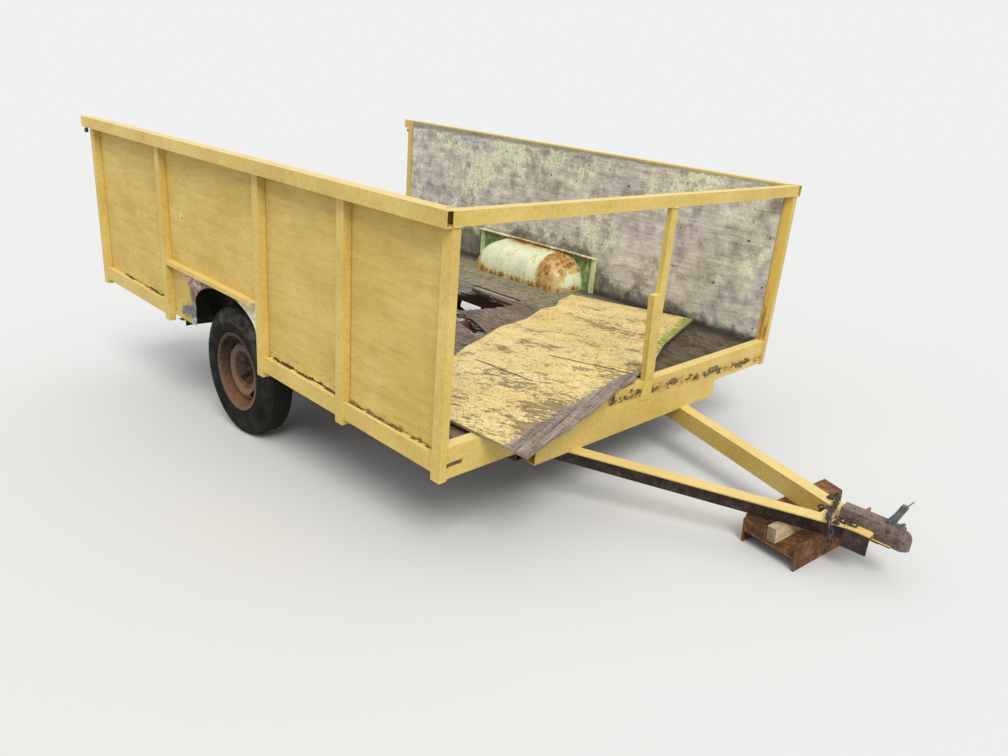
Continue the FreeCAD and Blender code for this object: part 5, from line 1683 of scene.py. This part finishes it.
@dataclass
class WheelBay:
    """One wheel bay: skirt, wheelhouse, panel, and the trim left on the old pressing.

    `section` holds the drum's half length, top and corner radius.  Each row of `seam_line` holds a point of
    the seam's underside (Y outward, Z) and the way its thickness stands from there (inward, up).
    """

    finishes: Finishes
    side: Side
    panel_y: float = 1.142
    middle_x: float = -1.745
    foot_z: float = 0.618
    section: tuple[float, float, float] = (0.422, 0.828, 0.19)
    lip_width: float = 0.011
    lip_height: float = 0.008
    seam_ahead: float = 0.215
    seam_line: tuple[tuple[float, float, float, float], ...] = (
        (0.905, 0.62, 0.0035, 0.0), (0.905, 0.67, 0.0035, 0.0), (0.91, 0.702, 0.0035, 0.0005),
        (0.919, 0.733, 0.003, 0.0015), (0.935, 0.765, 0.0025, 0.0025), (0.952, 0.785, 0.002, 0.003),
        (0.98, 0.804, 0.001, 0.0035), (1.007, 0.8145, 0.0, 0.0035), (1.04, 0.821, 0.0, 0.0035),
        (1.077, 0.8255, 0.0, 0.0035), (1.117, 0.829, 0.0, 0.0035), (1.14, 0.829, 0.0, 0.0035),
    )
    scrap_line: tuple[Point, ...] = (
        (-2.03, 1.161, 0.612), (-2.062, 1.168, 0.616), (-2.1, 1.178, 0.612), (-2.136, 1.181, 0.6),
        (-2.15, 1.17, 0.596),
    )

    def build(self) -> None:
        """Dress the bay and add its lip, seams and torn scrap."""
        word = self.side.word
        dress(self.finishes.skirt, f"arch_skirt_{word}")
        dress(self.finishes.pressing[self.side], f"wheelhouse_{word}", f"bay_frame_{word}")
        self.build_lip()
        self.build_seam()
        self.build_scrap()

    def build_lip(self) -> None:
        """Rolled lip where the drum meets the panel."""
        half, top, radius = self.section
        y = self.side.value * (self.panel_y - 0.001)
        path = [(self.middle_x - half, y, self.foot_z)]
        for corner, start in ((-1, math.pi), (1, math.pi / 2)):
            for step in range(9):
                angle = start - math.pi / 2 * step / 8
                x = self.middle_x + corner * (half - radius) + radius * math.cos(angle)
                path.append((x, y, top - radius + radius * math.sin(angle)))
        path.append((self.middle_x + half, y, self.foot_z))
        form = Form()
        rows = []
        for before, point, after in zip([path[0]] + path[:-1], path, path[1:] + [path[-1]]):
            run = (Vector(after) - Vector(before)).normalized()
            out = Vector((-run.z, 0.0, run.x)) * self.lip_width
            inward = Vector((0.0, -self.side.value, 0.0)) * self.lip_height
            row = []
            for step in range(7):
                angle = math.pi * step / 6
                place = Vector(point) + out * math.cos(angle) + inward * math.sin(angle)
                row.append(form.mesh.verts.new(place))
            rows.append(row)
        for below, above in zip(rows, rows[1:]):
            for index in range(6):
                form.mesh.faces.new([below[index], below[index + 1], above[index + 1], above[index]])
        form.done(f"drum_lip_{self.side.word}", self.finishes.pressing[self.side])

    def build_seam(self) -> None:
        """Lapped seam over the front part of the drum."""
        sign = self.side.value
        x = self.middle_x + self.seam_ahead
        form = Form()
        path = [(x, sign * y, z, 0.0, -sign * inward, rise) for y, z, inward, rise in self.seam_line]
        form.strap(path, (0.009, 0.0, 0.0), (0.0, 0.0, 0.003))
        form.done(f"drum_seam_{self.side.word}", self.finishes.pressing[self.side])

    def build_scrap(self) -> None:
        """Bent scrap of sheet steel left at the rear corner of the arch."""
        sign = self.side.value
        form = Form()
        path = [(x, sign * y, z) for x, y, z in self.scrap_line]
        form.strap(path, (0.0, 0.0, 0.024), (0.0, sign * 0.0025, 0.0))
        form.done(f"arch_scrap_{self.side.word}", self.finishes.latch)


@dataclass
class FloorDeck:
    """Boarded floor with its nails and its broken edges."""

    finishes: Finishes
    top: float = 0.614
    thickness: float = 0.028
    pitch: float = 0.19083
    member_lines: tuple[float, ...] = (-0.489, -0.899, -1.249, -2.232, -2.256, -2.719)
    bay_half_length: float = 0.45
    bay_inner_y: float = 0.88
    litter_count: int = 420
    litter_line: tuple[float, float] = (-1.75, -0.55)
    litter_reach: float = 0.85
    panel_normal: tuple[float, float] = (0.944, 0.329)
    panel_rear: float = -0.86
    panel_left: float = 0.98
    long_hole: tuple[tuple[float, float], ...] = (
        (-1.7, 0.505), (-1.525, 0.499), (-1.41, 0.474), (-1.286, 0.472), (-1.296, 0.322), (-1.331, 0.194),
        (-1.355, 0.095), (-1.5, 0.115), (-1.64, 0.24), (-1.74, 0.39),
    )
    small_hole: tuple[tuple[float, float], ...] = (
        (-1.33, 0.03), (-1.302, 0.075), (-1.181, 0.041), (-1.046, -0.016), (-0.951, -0.061), (-0.95, -0.091),
        (-0.978, -0.123), (-1.071, -0.095), (-1.166, -0.062), (-1.24, -0.1),
    )

    def build(self) -> None:
        """Dress the boards, drive the nails and break the edges of the holes."""
        dress(self.finishes.planks, "floor_boards")
        self.build_nails()
        self.build_splinters()
        self.build_litter()

    def build_nails(self) -> None:
        """Two nails per board over each cross member."""
        chance = random.Random(31)
        form = Form()
        for line in self.member_lines:
            for board in range(-6, 6):
                for share in (0.25, 0.75):
                    x = line + chance.uniform(-0.006, 0.006)
                    y = (board + share) * self.pitch + chance.uniform(-0.01, 0.01)
                    if abs(x - BED.wheel_x) < self.bay_half_length and abs(y) > self.bay_inner_y:
                        continue
                    form.dome((x, y, self.top - 0.0003), (0.0, 0.0, 1.0), 0.0042, 0.0012)
        form.done("floor_nails", self.finishes.under_steel)

    def build_splinters(self) -> None:
        """Slivers of wood that stick out over the holes along the grain."""
        chance = random.Random(32)
        form = Form()
        for outline in (self.long_hole, self.small_hole):
            middle_x = sum(corner[0] for corner in outline) / len(outline)
            for (x0, y0), (x1, y1) in zip(outline, outline[1:] + outline[:1]):
                count = max(3, int(abs(y1 - y0) / 0.011))
                for index in range(count):
                    share = (index + chance.random()) / count
                    x, y = x0 + (x1 - x0) * share, y0 + (y1 - y0) * share
                    inward = 1.0 if x < middle_x else -1.0
                    z = self.top - chance.uniform(0.003, self.thickness - 0.003)
                    reach = chance.uniform(0.015, 0.075)
                    tip_y = y + chance.uniform(-0.006, 0.006)
                    tip = (x + inward * reach, tip_y, z - chance.uniform(0.0, 0.012))
                    width, depth = chance.uniform(0.004, 0.014), chance.uniform(0.002, 0.006)
                    form.sliver((x - inward * 0.02, y, z), tip, width, depth, chance)
        form.done("hole_splinters", self.finishes.splinter)

    def build_litter(self) -> None:
        """Chips of rotten wood lying on the boards between the fallen panel and the holes."""
        chance = random.Random(33)
        form = Form()
        made = 0
        while made < self.litter_count:
            x, y = chance.uniform(*self.litter_line), chance.gauss(-0.05, 0.35)
            if not self.is_board(x, y) or abs(y) > self.litter_reach or self.under_panel(x, y):
                continue
            turn, reach = chance.uniform(-0.6, 0.6), chance.uniform(0.006, 0.026)
            z = self.top + chance.uniform(0.001, 0.003)
            tip = (x + reach * math.cos(turn), y + reach * math.sin(turn), z + chance.uniform(0.0, 0.004))
            form.sliver((x, y, z), tip, chance.uniform(0.003, 0.01), 0.0018, chance)
            made += 1
        form.done("floor_litter", self.finishes.splinter)

    def is_board(self, x: float, y: float) -> bool:
        """Whether a point of the floor is clear of both holes."""
        return not (self.inside(self.long_hole, x, y) or self.inside(self.small_hole, x, y))

    def under_panel(self, x: float, y: float) -> bool:
        """Whether a point of the floor lies under the fallen panel."""
        along = self.panel_normal[0] * x + self.panel_normal[1] * y
        return along > self.panel_rear and y < self.panel_left

    @staticmethod
    def inside(outline: Sequence[tuple[float, float]], x: float, y: float) -> bool:
        """Whether a point is inside an outline.

        Args:
            outline: The corners.
            x: First coordinate.
            y: Second coordinate.

        Returns:
            True inside.
        """
        odd = False
        for (x0, y0), (x1, y1) in zip(outline, list(outline[1:]) + [outline[0]]):
            if (y0 > y) != (y1 > y) and x < x0 + (x1 - x0) * (y - y0) / (y1 - y0):
                odd = not odd
        return odd


@dataclass
class FallenPanel:
    """Loose front panel with its torn rear edge.

    `hinge` is the line, across the panel, where it lifts off the floor; `tear_run` is the way its torn fibres
    point.
    """

    finishes: Finishes
    hinge: float = -0.9106
    slope: float = math.radians(2.624)
    lie: float = math.radians(19.2)
    floor_top: float = 0.614
    thickness: float = 0.012
    tear_run: tuple[float, float] = (-0.944, -0.329)
    torn_edge: tuple[tuple[float, float], ...] = (
        (-1.24, 0.95), (-1.19, 0.77), (-1.105, 0.65), (-1.11, 0.52), (-1.01, 0.3), (-0.985, 0.06),
        (-0.88, -0.18), (-0.83, -0.33), (-0.73, -0.51), (-0.69, -0.64), (-0.64, -0.82), (-0.57, -0.98),
    )

    def place(self, x: float, y: float, lift: float) -> Point:
        """Point on or over the tilted sheet, from its place on the flat outline.

        Args:
            x: Forward place before the sheet is tilted.
            y: Left place before the sheet is tilted.
            lift: Height over the underside.

        Returns:
            The bed-frame point.
        """
        across = Vector((math.cos(self.lie), math.sin(self.lie), 0.0))
        reach = x * across.x + y * across.y - self.hinge
        foot = Vector((x, y, self.floor_top)) - across * reach
        top = foot + across * reach * math.cos(self.slope) + Vector((0.0, 0.0, reach * math.sin(self.slope)))
        normal = Vector((0.0, 0.0, math.cos(self.slope))) - across * math.sin(self.slope)
        return tuple(top + normal * lift)

    def build(self) -> None:
        """Dress the panel and tear its rear edge."""
        dress(self.finishes.fallen_panel, "loose_panel")
        chance = random.Random(41)
        form = Form()
        for (x0, y0), (x1, y1) in zip(self.torn_edge, self.torn_edge[1:]):
            count = max(4, int(math.hypot(x1 - x0, y1 - y0) / 0.01))
            for index in range(count):
                share = (index + chance.random()) / count
                x, y = x0 + (x1 - x0) * share, y0 + (y1 - y0) * share
                lift = chance.uniform(0.002, self.thickness - 0.001)
                reach = chance.uniform(0.006, 0.05)
                start = self.place(x + 0.012, y + 0.004, lift)
                tip_x, tip_y = x + reach * self.tear_run[0], y + reach * self.tear_run[1]
                tip = Vector(self.place(tip_x, tip_y + chance.uniform(-0.006, 0.006), lift))
                tip.z = max(tip.z + chance.uniform(-0.002, 0.004), self.floor_top + 0.002)
                width, depth = chance.uniform(0.004, 0.016), chance.uniform(0.0015, 0.004)
                form.sliver(start, tuple(tip), width, depth, chance)
        form.done("panel_torn_edge", self.finishes.splinter)


@dataclass
class RunningGear:
    """Axle, springs and their fastenings."""

    finishes: Finishes
    spring_y: float = 0.715
    wheel_x: float = -1.745
    clamp_low: float = 0.2874
    clamp_reach: float = 0.036
    clamp_spread: float = 0.032
    eye_z: float = 0.3799
    eye_reach: float = 0.34
    eye_half_width: float = 0.0292

    def build(self) -> None:
        """Dress the running gear and add its nuts."""
        dress(
            self.finishes.under_steel, "axle", "leaf_spring_left", "leaf_spring_right", "spring_hangers",
            "axle_clamps", "tongue_rear_beam",
        )
        form = Form()
        down = (0.0, 0.0, -1.0)
        for side in Side:
            middle_y = side.value * self.spring_y
            for end in (-1, 1):
                for row in (-1, 1):
                    x = self.wheel_x + end * self.clamp_reach
                    y = middle_y + row * self.clamp_spread
                    form.hex_head((x, y, self.clamp_low), down, 0.019, 0.011, 0.3 * row)
                x = self.wheel_x + end * self.eye_reach
                for face in (-1, 1):
                    y = middle_y + face * self.eye_half_width
                    form.hex_head((x, y, self.eye_z), (0.0, face, 0.0), 0.024, 0.0125, 0.2)
            form.hex_head((self.wheel_x, middle_y, self.clamp_low), down, 0.014, 0.008)
        form.done("spring_nuts", self.finishes.under_steel)


@dataclass
class RoadWheel:
    """One wheel with its tyre, valve and hub."""

    finishes: Finishes
    side: Side
    tyre_radius: float = 0.343
    bead_radius: float = 0.1905
    half_width: float = 0.0825
    segments: int = 180
    grooves: tuple[float, ...] = (-0.036, -0.013, 0.013, 0.036)
    shoulder: tuple[float, float] = (0.0545, 0.0672)
    notch_depth: float = 0.0035
    rib_middle: float = 0.0245
    rib_half_width: float = 0.0145
    rib_wave: float = 0.0012
    waves: int = 60
    stud_count: int = 5
    stud_circle: float = 0.05715

    def build(self) -> None:
        """Dress the wheel and mould its tyre."""
        word = self.side.word
        dress(self.finishes.wheel[self.side], f"wheel_{word}", f"hub_{word}", f"lug_nuts_{word}")
        self.build_tyre()
        self.build_fittings()

    @property
    def centre(self) -> Vector:
        """Middle of the wheel at rest."""
        low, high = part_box(f"wheel_{self.side.word}")
        return (Vector(low) + Vector(high)) / 2

    def outline(self) -> list[tuple[float, float]]:
        """Section of the tyre, from one bead over the tread to the other.

        Returns:
            Offsets along the axle and radii.
        """
        wall = self.tyre_radius - self.bead_radius
        half = self.half_width
        flank = [
            (0.048, 0.026), (0.063, 0.02), (0.0638, 0.11), (0.069, 0.145), (0.0735, 0.17), (0.0748, 0.185),
            (0.0742, 0.2), (0.0775, 0.27), (0.0805, 0.35), (half - 0.0006, 0.44), (half - 0.0012, 0.5),
            (half - 0.0004, 0.505), (half - 0.0004, 0.545), (half - 0.0018, 0.55), (half - 0.0022, 0.61),
            (0.0772, 0.68), (0.0765, 0.7), (0.0748, 0.705), (0.0702, 0.79), (0.0668, 0.86), (0.0655, 0.89),
            (0.062, 0.925), (0.0575, 0.955),
        ]
        left = [(-offset, self.bead_radius + share * wall) for offset, share in flank]
        tread = []
        for groove in self.grooves:
            for step, sink in ((-0.0035, 0.0), (-0.0022, 0.0042), (0.0022, 0.0042), (0.0035, 0.0)):
                offset = groove + step
                crown = 0.003 * (offset / 0.05) ** 2
                tread.append((offset, self.tyre_radius - crown - sink))
        right = [(-offset, radius) for offset, radius in reversed(left)]
        edge, brim = 0.05, self.tyre_radius - 0.003
        return left + [(-edge, brim)] + tread + [(edge, brim)] + right

    def build_tyre(self) -> None:
        """Tyre with four worn grooves, shoulder notches and ringed sidewalls."""
        form = Form()
        section = self.outline()
        rows = []
        for offset, radius in section:
            notched = self.shoulder[0] < abs(offset) < self.shoulder[1] and radius > self.tyre_radius - 0.02
            waved = abs(abs(offset) - self.rib_middle) < self.rib_half_width
            row = []
            for index in range(self.segments):
                angle = 2 * math.pi * index / self.segments
                reach = radius - (self.notch_depth if notched and index % 3 == 0 else 0.0)
                wave = self.rib_wave * math.sin(angle * self.waves) if waved else 0.0
                place = Vector((math.sin(angle) * reach, offset + wave, math.cos(angle) * reach))
                row.append(form.mesh.verts.new(place))
            rows.append(row)
        rows.append(rows[0])
        for below, above in zip(rows, rows[1:]):
            for index in range(self.segments):
                after = (index + 1) % self.segments
                form.mesh.faces.new([below[index], below[after], above[after], above[index]])
        word = self.side.word
        tyre = form.done(
            f"tyre_moulded_{word}", self.finishes.tyre[self.side], Body.wheel(self.side),
            Matrix.Translation(self.centre), 32.0,
        )
        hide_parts(f"tyre_{word}")

    def build_fittings(self) -> None:
        """Valve stem, lug nuts, ends of the wheel studs and the ring round the hub's cap."""
        out = self.side.sign
        form = Form()
        thick, thin, top = 0.0045, 0.0036, 0.031
        stem = [
            (0.0, 0.0), (0.0, thick), (0.016, thick), (0.016, thin), (0.03, thin), (top, 0.0022), (top, 0.0)
        ]
        form.turned_ring((0.0, out * 0.024, 0.16), (0.0, out, 0.15), stem, 12)
        for index in range(self.stud_count):
            angle = 2 * math.pi * index / self.stud_count
            x, z = self.stud_circle * math.sin(angle), self.stud_circle * math.cos(angle)
            form.hex_head((x, out * 0.0125, z), (0.0, out, 0.0), 0.0212, 0.0155, 0.25 * index)
            form.stud((x, out * 0.026, z), (0.0, out, 0.0), 0.0062, 0.01)
        cap_ring = [(0.0, 0.034), (0.0012, 0.0355), (0.003, 0.0355), (0.004, 0.034)]
        form.turned_ring((0.0, out * 0.03, 0.0), (0.0, out, 0.0), cap_ring, 40)
        form.done(
            f"wheel_fittings_{self.side.word}", self.finishes.wheel[self.side],
            Body.wheel(self.side), Matrix.Translation(self.centre), 35.0,
        )


@dataclass
class Tongue:
    """Tongue members, nose, coupler, latch and safety chain."""

    finishes: Finishes
    top: float = 0.42
    inner_at_bed: float = 0.385
    slope: float = 0.366
    flange: float = 0.0703
    face: float = 0.001
    nose_x: float = 1.04
    nose_seam: tuple[float, float] = (0.997, 1.13)
    nose_half_width: float = 0.0305
    chain_bolts: tuple[tuple[float, float], ...] = ((0.905, 0.1), (1.008, -0.078))
    coupler_foot: tuple[float, float] = (1.132, 1.2)
    coupler_half_width: float = 0.029
    latch_pivot: tuple[float, float] = (1.168, 0.062)
    trigger: tuple[tuple[float, float], ...] = (
        (1.186, 0.47), (1.206, 0.466), (1.222, 0.486), (1.214, 0.492), (1.198, 0.48),
    )

    def build(self) -> None:
        """Dress the tongue and add its welds, bolts and small steelwork."""
        dress(self.finishes.tongue_paint, "tongue_member_left", "tongue_member_right", "nose_plate")
        dress(self.finishes.coupler, "coupler")
        dress(self.finishes.latch, "coupler_latch")
        dress(self.finishes.chain, "safety_chain")
        self.build_welds()
        self.build_bolts()
        self.build_coupler_edges()

    def build_welds(self) -> None:
        """Beads where the members pass under the beam and meet the nose."""
        chance = random.Random(51)
        form = Form()
        z = self.top
        for side in Side:
            sign = side.value
            nose_inner = self.inner_at_bed - self.slope * self.nose_x
            ends = ((self.face, self.inner_at_bed, 0.0045), (self.nose_x, nose_inner, 0.0035))
            for x, inner, radius in ends:
                form.weld((x, sign * inner, z), (x, sign * (inner + self.flange), z), radius, chance)
            start, end = ((x, sign * self.nose_half_width, z) for x in self.nose_seam)
            form.weld(start, end, 0.0035, chance)
        form.done("tongue_welds", self.finishes.tongue_paint)

    def build_bolts(self) -> None:
        """Bolts that hold the chain to the flanges, and the washer by the latch."""
        form = Form()
        up = (0.0, 0.0, 1.0)
        (near_x, near_y), (far_x, far_y) = self.chain_bolts
        form.hex_head((near_x, near_y, self.top), up, 0.019, 0.012, 0.4)
        form.stud((near_x, near_y, self.top + 0.011), up, 0.006, 0.012)
        form.hex_head((far_x, far_y, self.top), up, 0.017, 0.011, 0.1)
        form.dome((1.176, -0.0302, self.top + 0.03), (0.0, -1.0, 0.0), 0.0085, 0.004)
        form.done("chain_bolts", self.finishes.chain)

    def build_coupler_edges(self) -> None:
        """Turned-out edges along the foot of the coupler, the latch's pivot and its trigger."""
        form = Form()
        for sign in (1, -1):
            path = [(x, sign * self.coupler_half_width, self.top - 0.026) for x in self.coupler_foot]
            form.strap(path, (0.0, 0.0, 0.0025), (0.0, sign * 0.01, 0.0))
        form.done("coupler_edges", self.finishes.tongue_paint)
        small = Form()
        pivot_x, pivot_rise = self.latch_pivot
        pin = [(0.0, 0.0), (0.0, 0.007), (0.032, 0.007), (0.032, 0.0)]
        small.turned_ring((pivot_x, -0.016, self.top + pivot_rise), (0.0, 1.0, 0.0), pin, 16)
        small.slab([(x, -0.005, z) for x, z in self.trigger], (0.0, 0.01, 0.0))
        small.done("latch_fittings", self.finishes.latch)


@dataclass
class ParkingStand:
    """Steel beam and packing under the tongue."""

    finishes: Finishes

    def build(self) -> None:
        """Dress the stand."""
        dress(self.finishes.stand, "stand_beam", "stand_plate")
        dress(self.finishes.timber, "stand_wedge")


def main() -> None:
    """Build the studio and every sub-assembly in order."""
    logging.basicConfig(level=logging.INFO, format="%(name)s: %(message)s")
    bpy.context.scene.view_settings.view_transform = "Standard"
    Studio().build()
    finishes = Finishes()
    assemblies = [BedFrameSteel(finishes), SideWalls(finishes), FloorDeck(finishes), FallenPanel(finishes)]
    assemblies += [WheelBay(finishes, side) for side in Side]
    assemblies += [RunningGear(finishes)]
    assemblies += [RoadWheel(finishes, side) for side in Side]
    assemblies += [Tongue(finishes), ParkingStand(finishes)]
    for assembly in assemblies:
        assembly.build()
        log.info("finished %s", type(assembly).__name__)


if __name__ == "__main__":
    main()
